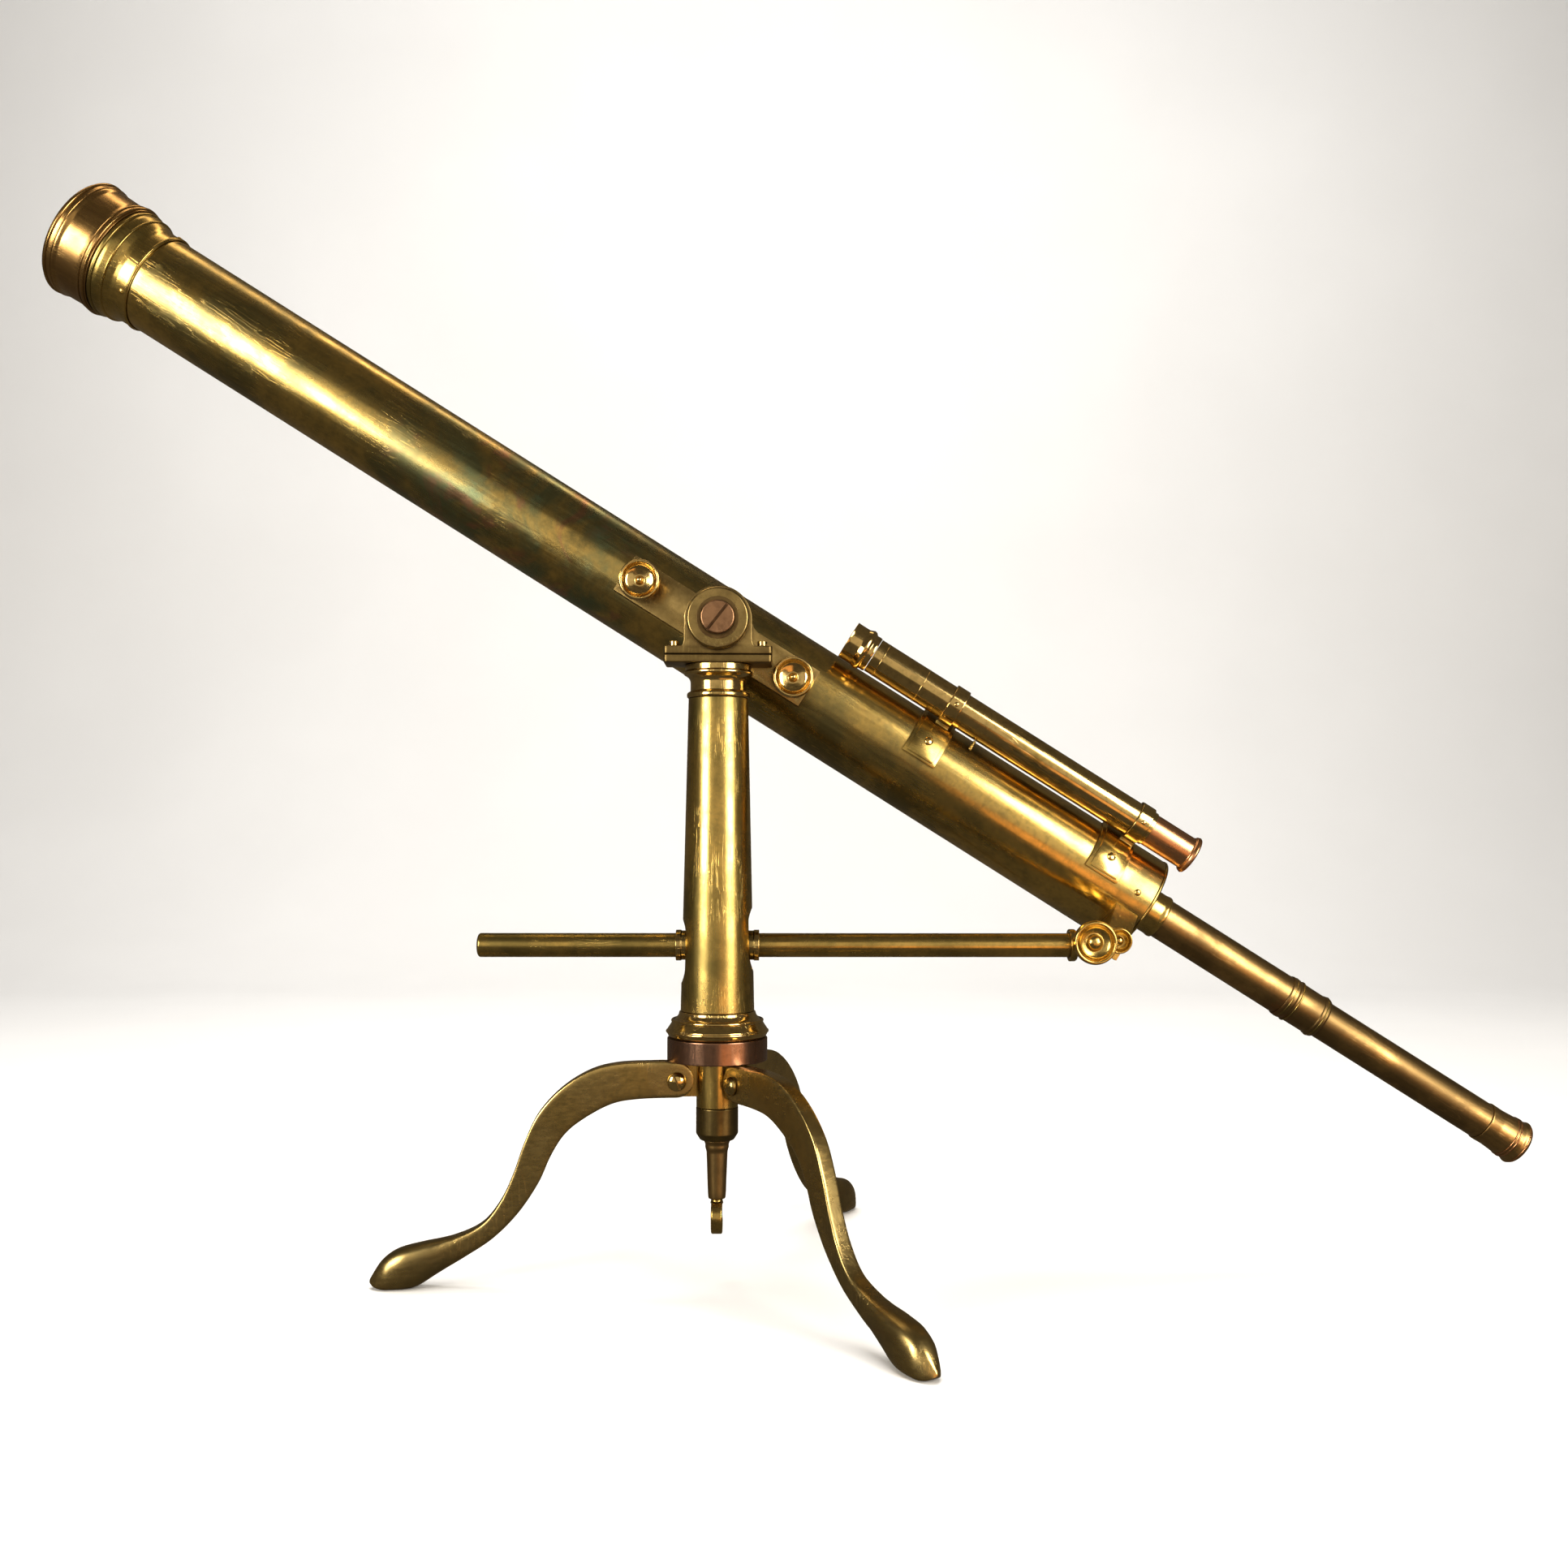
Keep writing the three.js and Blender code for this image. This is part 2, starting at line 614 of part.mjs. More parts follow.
function dewCap() {
  const back = CELL_SHOULDER + GAP;
  return turned([
    [HOOD_BORE, back],
    [48.6, back],
    [49, back + 4],
    [48.6, back + 8],
    [48.4, back + 10],
    [49, HOOD_FRONT - 13],
    [50, HOOD_FRONT - 10],
    [50.2, HOOD_FRONT - 4],
    [49.4, HOOD_FRONT],
    [47.6, HOOD_FRONT],
    [HOOD_BORE, HOOD_FRONT - 3],
    [HOOD_BORE, back],
  ], FINE);
}

function tailCap() {
  const back = TUBE_BACK - GAP;
  const spigot = TUBE_BORE - GAP;
  return turned([
    [18.4, back - 2.5],
    [41, back - 2.5],
    [42, back - 1.5],
    [42, back],
    [spigot, back],
    [spigot, back + 24],
    [spigot - 1.5, back + 24],
    [spigot - 1.5, back + 3],
    [18.4, back + 3],
    [18.4, back - 2.5],
  ], FINE);
}

function drawSleeve() {
  const inner = DRAW_1_RADIUS + GAP;
  const shoulder = TUBE_BACK - 3.2;
  return turned([
    [inner, SLEEVE_END],
    [18.8, SLEEVE_END],
    [19.2, SLEEVE_END + 2],
    [18.8, SLEEVE_END + 4],
    [18.6, SLEEVE_END + 5],
    [18.6, shoulder],
    [18.1, shoulder],
    [18.1, -340],
    [inner, -340],
    [inner, SLEEVE_END],
  ]);
}

add(tubeAxis, 'main_tube', ring(TUBE_RADIUS, TUBE_BORE, TUBE_BACK, TUBE_FRONT, FINE));
add(tubeAxis, 'objective_cell', objectiveCell());
add(tubeAxis, 'flint_lens', lens(LENS_RADIUS, 6, -1.2, -1.2, FINE).translate(0, 0, LENS_SEAT + GAP), 'glass');
add(tubeAxis, 'crown_lens',
  lens(LENS_RADIUS, 4.5, 0.9, 1.6, FINE).translate(0, 0, LENS_SEAT + 6.6 + GAP), 'glass');
add(tubeAxis, 'lens_retaining_ring',
  ring(LENS_RADIUS, CLEAR_RADIUS, LENS_SEAT + 12, LENS_SEAT + 18, FINE), 'agedBrass');
add(tubeAxis, 'dew_cap', dewCap());
add(tubeAxis, 'tail_cap', tailCap());
add(tubeAxis, 'draw_sleeve', drawSleeve());

// ---- Draw tubes and eyepiece -------------------------------------------------------------------------

const DRAW_2_BORE = DRAW_2_RADIUS - 0.9;

function drawFerrule() {
  const inner = DRAW_2_RADIUS + GAP;
  return turned([
    [inner, FERRULE_END],
    [17.4, FERRULE_END],
    [18.1, FERRULE_END + 1.5],
    [18.1, FERRULE_END + 6],
    [17.5, FERRULE_END + 7],
    [17.7, FERRULE_FRONT - 8],
    [18.4, FERRULE_FRONT - 6.5],
    [18.4, FERRULE_FRONT - 1],
    [18, FERRULE_FRONT],
    [DRAW_1_RADIUS + GAP, FERRULE_FRONT],
    [DRAW_1_RADIUS + GAP, DRAW_1_END - GAP],
    [inner, DRAW_1_END - GAP],
    [inner, FERRULE_END],
  ]);
}

// The eye end screws onto the second draw tube and holds the eye lens behind a small sight hole.
function eyecup() {
  const front = DRAW_2_END - GAP;
  return turned([
    [5, EYECUP_END + 3],
    [13, EYECUP_END],
    [17.6, EYECUP_END],
    [18.8, EYECUP_END + 1.5],
    [18.8, EYECUP_END + 4],
    [18, EYECUP_END + 6],
    [17.4, EYECUP_END + 16],
    [16.6, EYECUP_END + 27],
    [16.9, front - 2],
    [16.9, front],
    [12.5, front],
    [12.5, EYECUP_END + 7],
    [5, EYECUP_END + 7],
    [5, EYECUP_END + 3],
  ]);
}

add(tubeAxis, 'draw_tube_1',
  ring(DRAW_1_RADIUS, DRAW_2_RADIUS + GAP, DRAW_1_END, DRAW_1_INNER_END), 'agedBrass');
add(tubeAxis, 'draw_ferrule', drawFerrule(), 'agedBrass');
add(tubeAxis, 'draw_tube_2', ring(DRAW_2_RADIUS, DRAW_2_BORE, DRAW_2_END, DRAW_2_INNER_END), 'agedBrass');
add(tubeAxis, 'eyecup', eyecup(), 'agedBrass');
add(tubeAxis, 'eye_lens', lens(12.1, 2, 0, 2).translate(0, 0, EYECUP_END + 8), 'glass');
add(tubeAxis, 'field_lens', lens(DRAW_2_BORE - GAP, 2, 0, 3).translate(0, 0, DRAW_2_END + 30), 'glass');
add(tubeAxis, 'erector_lens',
  lens(DRAW_2_BORE - GAP, 2, 0, 2).translate(0, 0, DRAW_2_INNER_END - 8), 'glass');

// ---- Finder ------------------------------------------------------------------------------------------

const FINDER_BORE = FINDER_RADIUS - 0.6;
const FINDER_ANGLE = THREE.MathUtils.radToDeg(Math.atan2(FINDER_UP, FINDER_FORWARD));
const FINDER_DISTANCE = Math.hypot(FINDER_UP, FINDER_FORWARD);
const COLLAR_RADIUS = 16.7;
const SADDLE_INNER = TUBE_RADIUS + GAP;

function finderCell() {
  const [front, back] = [FINDER_FRONT, FINDER_CELL_BACK];
  return turned([
    [12.4, back + GAP],
    [15.2, back + GAP],
    [15.6, back + 2],
    [15.4, back + 5],
    [17.4, back + 7],
    [17.8, back + 9],
    [17, back + 11],
    [16.2, back + 13],
    [16.2, front - 1.5],
    [16.6, front],
    [15.2, front],
    [14.6, front - 1],
    [14.6, back + 9],
    [12.4, back + 9],
    [12.4, back + GAP],
  ]);
}

// A curved plate on the tube with a foot that carries the finder's collar.
function finderSaddle(station, collarStation) {
  const half = SADDLE_LENGTH / 2;
  const plate = arcPlate(SADDLE_INNER + 2.6, SADDLE_INNER, 0, 76, station - half, station + half);
  const step = arcPlate(SADDLE_INNER + 3.8, SADDLE_INNER, 3, 73, station - half + 3, station + half - 3);
  const foot = block([-7, -FINDER_DISTANCE + COLLAR_RADIUS - 3, -6], [7, -SADDLE_INNER - 1, 6]);
  foot.rotateZ(deg(FINDER_ANGLE)).translate(0, 0, collarStation);
  const collarSpace = rod(COLLAR_RADIUS + GAP, collarStation - 20, collarStation + 20, MEDIUM);
  collarSpace.translate(FINDER_UP, -FINDER_FORWARD, 0);
  return cut(join(plate, step, foot), collarSpace, saddleHole(station));
}

const SADDLE_SCREW_ANGLE = 22;
const saddleHole = (station) => facingFront(rod(1.9, 30, 60, 10))
  .rotateZ(deg(SADDLE_SCREW_ANGLE)).translate(0, 0, station);

function saddleScrew(station) {
  const head = screw(3.6, 1.8, 1.5, 3.2, true).translate(0, 0, SADDLE_INNER + 3.8 + GAP);
  return facingFront(head).rotateZ(deg(SADDLE_SCREW_ANGLE)).translate(0, 0, station);
}

function finderCollar(station) {
  return ring(COLLAR_RADIUS, FINDER_RADIUS + GAP, station - 6, station + 6);
}

add(tubeAxis, 'finder_saddle_front', finderSaddle(SADDLE_STATIONS[0], COLLAR_STATIONS[0]));
add(tubeAxis, 'finder_saddle_rear', finderSaddle(SADDLE_STATIONS[1], COLLAR_STATIONS[1]));
add(tubeAxis, 'saddle_screw_front', saddleScrew(SADDLE_STATIONS[0]));
add(tubeAxis, 'saddle_screw_rear', saddleScrew(SADDLE_STATIONS[1]));
add(finderAxis, 'finder_collar_front', finderCollar(COLLAR_STATIONS[0]));
add(finderAxis, 'finder_collar_rear', finderCollar(COLLAR_STATIONS[1]));
add(finderAxis, 'finder_tube', ring(FINDER_RADIUS, FINDER_BORE, FINDER_TUBE_BACK, FINDER_CELL_BACK));
add(finderAxis, 'finder_cell', finderCell());
add(finderAxis, 'finder_lens', lens(14.2, 2, 0, 1).translate(0, 0, FINDER_CELL_BACK + 9 + GAP), 'glass');
add(finderAxis, 'finder_pin', turned([[0, 0], [1.1, 0], [1.1, 5.5], [1.7, 6.5], [1.7, 8.5], [0, 9]], COARSE)
  .rotateY(-Math.PI / 2).translate(-FINDER_RADIUS - GAP, 0, -228));
add(finderAxis, 'finder_eyepiece_tube', turned([
  [4, FINDER_EYE_END],
  [15.6, FINDER_EYE_END],
  [16.6, FINDER_EYE_END + 1.5],
  [15.6, FINDER_EYE_END + 4],
  [13.9, FINDER_EYE_END + 5],
  [13.9, FINDER_TUBE_BACK + 28],
  [13.1, FINDER_TUBE_BACK + 28],
  [13.1, FINDER_EYE_END + 3],
  [4, FINDER_EYE_END + 3],
  [4, FINDER_EYE_END],
]), 'bronze');
add(finderAxis, 'finder_eye_lens', lens(12.7, 2, 0, 1.5).translate(0, 0, FINDER_EYE_END + 3.4), 'glass');

// ---- Steady rod --------------------------------------------------------------------------------------

// A point of the upright plane through the pillar, seen along the tube: [square to the tube, along it].
function onTube(x, height) {
  const [sin, cos] = [Math.sin(deg(ELEVATION)), Math.cos(deg(ELEVATION))];
  const rise = height - PIVOT_HEIGHT;
  return [x * sin + rise * cos + TUBE_DROP, -x * cos + rise * sin];
}

const rodPin = onTube(ROD_PIVOT_X, ROD_PIVOT_HEIGHT);
const linkPin = onTube(LINK_PIN_X, ROD_PIVOT_HEIGHT);
const LINK_FRONT_Y = 9.7;
const LINK_THICKNESS = 5;
const LINK_BACK = LINK_FRONT_Y + LINK_THICKNESS - TUBE_OFFSET_Y;

function pinHole(radius, [x, z]) {
  return facingFront(rod(radius, 30, 90, COARSE)).translate(x, 0, z);
}

// A gusset on the tube's flank that carries the link.
function rodBracket() {
  const face = LINK_BACK + GAP;
  const outline = [[-8, -36], [-33, face], [-54, face], [-54, face + 8], [-38, -18]];
  const shape = new THREE.Shape(outline.map(([x, y]) => new THREE.Vector2(x, y)));
  const body = new THREE.ExtrudeGeometry(shape, { depth: 20, bevelEnabled: false });
  body.translate(0, 0, linkPin[1] - 10);
  return cut(body, rod(TUBE_RADIUS + GAP, -500, -300, FINE), pinHole(3.3, linkPin));
}

function rodLink() {
  const [dx, dz] = [linkPin[0] - rodPin[0], linkPin[1] - rodPin[1]];
  const along = Math.atan2(dz, dx);
  const radius = 8.6;
  const shape = new THREE.Shape();
  shape.absarc(rodPin[0], rodPin[1], radius, along + Math.PI / 2, along + Math.PI * 1.5, false);
  shape.absarc(linkPin[0], linkPin[1], radius, along - Math.PI / 2, along + Math.PI / 2, false);
  shape.closePath();
  const plate = slab(shape, LINK_BACK, LINK_BACK - LINK_THICKNESS);
  return cut(plate, pinHole(4.4, rodPin), pinHole(3.3, linkPin));
}

// The knuckle of the steady rod: a ferrule over the rod's end, a neck and a bored eye.
function rodEye() {
  const eye = facingFront(rod(11.2, -9.2, 9.2)).translate(ROD_PIVOT_X, 0, ROD_PIVOT_HEIGHT);
  const neck = facingRight(rod(8.6, ROD_RIGHT + 1, ROD_PIVOT_X)).translate(0, 0, ROD_PIVOT_HEIGHT - 0.5);
  const hole = facingFront(rod(4.4, -20, 20, COARSE)).translate(ROD_PIVOT_X, 0, ROD_PIVOT_HEIGHT);
  const cup = facingRight(turned([
    [0, ROD_RIGHT + GAP],
    [ROD_RADIUS + GAP, ROD_RIGHT + GAP],
    [ROD_RADIUS + GAP, ROD_RIGHT - 3],
    [12.8, ROD_RIGHT - 3],
    [12.8, ROD_RIGHT + 2.6],
    [0, ROD_RIGHT + 2.6],
  ])).translate(0, 0, ROD_HEIGHT);
  return cut(join(eye, neck, cup), hole);
}

function steadyRod() {
  return turned([
    [0, ROD_LEFT],
    [ROD_RADIUS - 2, ROD_LEFT],
    [ROD_RADIUS, ROD_LEFT + 1.5],
    [ROD_RADIUS, ROD_RIGHT],
    [0, ROD_RIGHT],
  ]);
}

function rodGuide() {
  const [bore, end, lip] = [ROD_RADIUS + GAP, GUIDE_HALF_LENGTH, GUIDE_RADIUS + 0.6];
  return turned([
    [bore, -end],
    [lip, -end],
    [lip, 4 - end],
    [GUIDE_RADIUS, 4.5 - end],
    [GUIDE_RADIUS, end - 4.5],
    [lip, end - 4],
    [lip, end],
    [bore, end],
    [bore, -end],
  ]);
}

add(tubeAxis, 'rod_bracket', rodBracket());
add(tubeAxis, 'rod_link', rodLink());
add(stand, 'steady_rod', facingRight(steadyRod()).translate(0, 0, ROD_HEIGHT));
add(stand, 'rod_eye', rodEye());
add(stand, 'rod_guide', facingRight(rodGuide()).translate(0, 0, ROD_HEIGHT));
add(stand, 'rod_knob_large', facingFront(dishedKnob(17.5, 16, 4, 20, 6.5).translate(0, 0, 9.5))
  .translate(ROD_PIVOT_X, 0, ROD_PIVOT_HEIGHT));
add(stand, 'rod_knob_small', facingFront(dishedKnob(10.5, 13, 3, 9, 4).translate(0, 0, GAP - LINK_FRONT_Y))
  .translate(LINK_PIN_X, 0, ROD_PIVOT_HEIGHT));

// ---- Origin at the middle of the footprint, on the floor ---------------------------------------------

root.updateMatrixWorld(true);
const bounds = new THREE.Box3().setFromObject(root, true);
const middle = bounds.getCenter(new THREE.Vector3());
root.position.set(-middle.x, -middle.y, -bounds.min.z);

export default root;
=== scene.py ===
import json
import math

import bmesh
import bpy
import numpy as np
from mathutils import Matrix, Vector


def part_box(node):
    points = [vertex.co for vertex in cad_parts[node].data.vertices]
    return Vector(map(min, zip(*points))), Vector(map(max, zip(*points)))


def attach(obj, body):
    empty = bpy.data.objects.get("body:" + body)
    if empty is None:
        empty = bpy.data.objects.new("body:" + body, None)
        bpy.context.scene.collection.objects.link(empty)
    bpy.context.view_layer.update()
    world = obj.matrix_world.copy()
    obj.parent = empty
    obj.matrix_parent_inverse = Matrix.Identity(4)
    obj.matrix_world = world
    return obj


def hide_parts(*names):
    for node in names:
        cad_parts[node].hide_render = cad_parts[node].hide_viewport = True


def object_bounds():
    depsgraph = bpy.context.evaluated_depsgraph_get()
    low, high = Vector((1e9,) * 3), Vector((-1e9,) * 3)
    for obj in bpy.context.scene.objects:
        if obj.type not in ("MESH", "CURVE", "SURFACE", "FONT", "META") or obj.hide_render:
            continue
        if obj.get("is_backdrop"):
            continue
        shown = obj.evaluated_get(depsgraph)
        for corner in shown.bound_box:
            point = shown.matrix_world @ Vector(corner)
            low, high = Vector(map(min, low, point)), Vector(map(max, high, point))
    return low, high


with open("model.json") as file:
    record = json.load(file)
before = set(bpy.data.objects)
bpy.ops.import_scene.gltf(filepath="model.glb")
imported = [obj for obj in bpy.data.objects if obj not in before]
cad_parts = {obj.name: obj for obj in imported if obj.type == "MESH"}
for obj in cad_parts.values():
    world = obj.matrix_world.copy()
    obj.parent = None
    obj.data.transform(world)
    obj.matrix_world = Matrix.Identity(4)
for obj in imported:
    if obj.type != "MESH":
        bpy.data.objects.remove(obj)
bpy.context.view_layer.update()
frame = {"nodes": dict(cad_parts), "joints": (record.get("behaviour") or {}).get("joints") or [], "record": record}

# ---- Places, all from the frame -------------------------------------------------------------------------

MM = 0.001
JOINTS = {joint["name"]: joint for joint in frame["joints"]}
OPTICAL = Vector(JOINTS["draw_slide"]["axis"]).normalized()
BODY_OF = {node: body for body, nodes in frame["record"]["behaviour"]["bodies"].items() for node in nodes}


def middle(node):
    low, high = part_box(node)
    return (low + high) / 2


def stations_of(node, matrix):
    """The lowest and the highest z of a CAD node in the given frame."""
    inverse = matrix.inverted()
    heights = [(inverse @ vertex.co).z for vertex in frame["nodes"][node].data.vertices]
    return min(heights), max(heights)


def axes_at(origin, z_axis, y_axis=(0, 1, 0)):
    """A frame with its origin and z axis as given, and its y axis near the one given."""
    z = Vector(z_axis).normalized()
    x = Vector(y_axis).cross(z).normalized()
    y = z.cross(x)
    matrix = Matrix((x, y, z)).transposed().to_4x4()
    matrix.translation = Vector(origin)
    return matrix


PILLAR = Vector(JOINTS["azimuth"]["pos_m"])
STAND = axes_at((PILLAR.x, PILLAR.y, 0), (0, 0, 1))
ALTITUDE = Vector(JOINTS["altitude"]["pos_m"])
# The tube's frame has its stations counted from the altitude axis, as they are in the CAD.
TUBE = axes_at(middle("main_tube") + OPTICAL * (ALTITUDE - middle("main_tube")).dot(OPTICAL), OPTICAL)
FINDER = axes_at(middle("finder_tube"), OPTICAL)
ROD = axes_at(middle("steady_rod"), (1, 0, 0), (0, 0, 1))
BAR_FRONT = 50.5 * MM                # from the tube's axis to the trunnion bar's front
LEG_SIDES = ("left", "front", "rear")


def facing_front(node):
    """A frame at the middle of a node with z to the front of the instrument."""
    return axes_at(middle(node), (0, -1, 0), (0, 0, 1))


# ---- Meshes ---------------------------------------------------------------------------------------------

def link(mesh, name, matrix=Matrix.Identity(4)):
    piece = bpy.data.objects.new(name, mesh)
    bpy.context.scene.collection.objects.link(piece)
    piece.matrix_world = matrix
    return piece


def mesh_from(bm, name):
    mesh = bpy.data.meshes.new(name)
    bm.to_mesh(mesh)
    bm.free()
    return mesh


def smooth_shaded(mesh, sharp_degrees=38):
    """Smooth faces, with edges above the given angle left sharp."""
    bm = bmesh.new()
    bm.from_mesh(mesh)
    bmesh.ops.recalc_face_normals(bm, faces=bm.faces)
    for face in bm.faces:
        face.smooth = True
    for edge in bm.edges:
        edge.smooth = edge.calc_face_angle(math.pi) < math.radians(sharp_degrees)
    bm.to_mesh(mesh)
    bm.free()
    return mesh


def applied(piece):
    """Replaces the piece's mesh by what its modifiers make of it."""
    graph = bpy.context.evaluated_depsgraph_get()
    graph.update()
    mesh = bpy.data.meshes.new_from_object(piece.evaluated_get(graph))
    piece.modifiers.clear()
    piece.data = mesh
    return piece


def bevelled(piece, width, segments=3, angle=35):
    bevel = piece.modifiers.new("bevel", "BEVEL")
    bevel.width = width
    bevel.segments = segments
    bevel.limit_method = "ANGLE"
    bevel.angle_limit = math.radians(angle)
    bevel.harden_normals = False
    applied(piece)
    smooth_shaded(piece.data)
    return piece


def boolean(piece, tool, operation="DIFFERENCE"):
    modifier = piece.modifiers.new("boolean", "BOOLEAN")
    modifier.operation = operation
    modifier.solver = "EXACT"
    modifier.object = tool
    applied(piece)
    bpy.data.objects.remove(tool)
    return piece


GRID_PER_METRE = 2e4                 # corners that are nearer than this grid are one corner
ON_AXIS = 1e-6


def profile_of(node, matrix):
    """The outline that a turned CAD node was revolved from, and whether it is a closed loop off the axis."""
    mesh = frame["nodes"][node].data
    inverse = matrix.inverted()
    keys, index = [], {}
    for vertex in mesh.vertices:
        p = inverse @ vertex.co
        key = (round(math.hypot(p.x, p.y) * GRID_PER_METRE), round(p.z * GRID_PER_METRE))
        near = [k for k in index if abs(k[0] - key[0]) <= 1 and abs(k[1] - key[1]) <= 1]
        key = near[0] if near else key
        index.setdefault(key, (math.hypot(p.x, p.y), p.z))
        keys.append(key)
    links = {key: set() for key in index}
    for edge in mesh.edges:
        a, b = (keys[i] for i in edge.vertices)
        if a != b:
            links[a].add(b)
            links[b].add(a)
    ends = [key for key in links if len(links[key]) == 1]
    start = min(ends or links, key=lambda key: (key[1], key[0]))
    chain, last = [start], None
    while True:
        onward = [key for key in sorted(links[chain[-1]]) if key != last and key not in chain]
        if not onward:
            break
        last = chain[-1]
        chain.append(onward[0])
    points = [index[key] for key in chain]
    if ends:
        for end, at in ((points[0], 0), (points[-1], len(points) + 1)):
            if end[0] > ON_AXIS:
                points.insert(at, (0, end[1]))
    return points, not ends


LARGEST_EASE = 0.42                  # as a share of the shorter side at a corner
SUPPORT = 1.7                        # the support point's distance from its corner, in reaches


def rounded(points, radius, is_loop, steps=4):
    """The outline with its corners eased by up to radius, and a support point beside each."""
    result = []
    count = len(points)
    for i, corner in enumerate(points):
        here = Vector(corner)
        if not is_loop and i in (0, count - 1):
            result.append(here)
            continue
        before, after = Vector(points[i - 1]), Vector(points[(i + 1) % count])
        back, on = before - here, after - here
        reach = min(radius, LARGEST_EASE * back.length, LARGEST_EASE * on.length)
        start, end = here + back.normalized() * reach, here + on.normalized() * reach
        if back.length > 4 * reach:
            result.append(here + back.normalized() * reach * SUPPORT)
        for k in range(steps + 1):
            t = k / steps
            result.append(start * (1 - t) ** 2 + here * 2 * t * (1 - t) + end * t * t)
        if on.length > 4 * reach:
            result.append(here + on.normalized() * reach * SUPPORT)
    return result


BORE_FACING = -0.6                   # faces turned this much towards the axis are bore


def revolved(name, points, is_loop, matrix, sides=128, radius=0.5 * MM):
    """A turned piece, with a second material slot on the faces of its bore."""
    outline = rounded(points, radius, is_loop)
    bm = bmesh.new()
    rings = []
    for r, z in outline:
        if r < ON_AXIS:
            rings.append([bm.verts.new((0, 0, z))])
            continue
        angles = [2 * math.pi * k / sides for k in range(sides)]
        rings.append([bm.verts.new((r * math.cos(a), r * math.sin(a), z)) for a in angles])
    pairs = list(zip(rings, rings[1:]))
    if is_loop:
        pairs.append((rings[-1], rings[0]))
    for low, high in pairs:
        for k in range(sides):
            corners = [low[k % len(low)], low[(k + 1) % sides % len(low)],
                       high[(k + 1) % sides % len(high)], high[k % len(high)]]
            bm.faces.new(list(dict.fromkeys(corners)))
    bmesh.ops.recalc_face_normals(bm, faces=bm.faces)
    for face in bm.faces:
        centre = face.calc_center_median()
        outward = Vector((centre.x, centre.y, 0)).normalized()
        face.material_index = 1 if face.normal.dot(outward) < BORE_FACING else 0
    return link(smooth_shaded(mesh_from(bm, name)), name, matrix)


def turned_again(node, matrix, radius=0.5 * MM, sides=128):
    points, is_loop = profile_of(node, matrix)
    return revolved(node + "_fine", points, is_loop, matrix, sides, radius)


def prism(name, outline, low, high, matrix):
    """A flat piece: the outline in local x and y, from z = low to z = high."""
    bm = bmesh.new()
    bottom = [bm.verts.new((x, y, low)) for x, y in outline]
    top = [bm.verts.new((x, y, high)) for x, y in outline]
    bm.faces.new(bottom[::-1])
    bm.faces.new(top)
    count = len(outline)
    for i in range(count):
        j = (i + 1) % count
        bm.faces.new((bottom[i], bottom[j], top[j], top[i]))
    bmesh.ops.recalc_face_normals(bm, faces=bm.faces)
    return link(mesh_from(bm, name), name, matrix)


def loft(name, sections, matrix=Matrix.Identity(4)):
    """A closed skin over sections that all have the same number of points."""
    bm = bmesh.new()
    rows = [[bm.verts.new(p) for p in section] for section in sections]
    count = len(rows[0])
    for low, high in zip(rows, rows[1:]):
        for i in range(count):
            j = (i + 1) % count
            bm.faces.new((low[i], low[j], high[j], high[i]))
    for row in (rows[0], rows[-1]):
        hub = bm.verts.new(sum((v.co for v in row), Vector()) / count)
        for i in range(count):
            bm.faces.new((row[i], row[(i + 1) % count], hub))
    bmesh.ops.recalc_face_normals(bm, faces=bm.faces)
    return link(mesh_from(bm, name), name, matrix)


def arc(centre, radius, start, end, steps=24):
    angles = [math.radians(start + (end - start) * k / steps) for k in range(steps + 1)]
    return [(centre[0] + radius * math.cos(a), centre[1] + radius * math.sin(a)) for a in angles]


def cylinder(name, radius, low, high, matrix, sides=64):
    return prism(name, arc((0, 0), radius, 0, 360 * (1 - 1 / sides), sides - 1), low, high, matrix)


def drilled(piece, radius, half_length, matrix, sides=64):
    """Cuts a round hole along the matrix's z axis, to half_length on both sides of its origin."""
    return boolean(piece, cylinder("hole", radius, -half_length, half_length, matrix, sides))


def spline(points, count, steps=24):
    """Points evenly along a smooth curve through the given ones."""
    dims = len(points[0])
    padded = [points[0], *points, points[-1]]
    dense = []
    for p0, p1, p2, p3 in zip(padded, padded[1:], padded[2:], padded[3:]):
        for k in range(steps):
            t = k / steps
            dense.append([0.5 * (2 * p1[d] + (p2[d] - p0[d]) * t
                                 + (2 * p0[d] - 5 * p1[d] + 4 * p2[d] - p3[d]) * t * t
                                 + (3 * p1[d] - p0[d] - 3 * p2[d] + p3[d]) * t ** 3) for d in range(dims)])
    dense = np.array(dense + [list(points[-1])])
    lengths = np.concatenate([[0], np.cumsum(np.linalg.norm(np.diff(dense, axis=0), axis=1))])
    wanted = np.linspace(0, lengths[-1], count)
    return np.stack([np.interp(wanted, lengths, dense[:, d]) for d in range(dims)], 1)


# ---- Materials ------------------------------------------------------------------------------------------

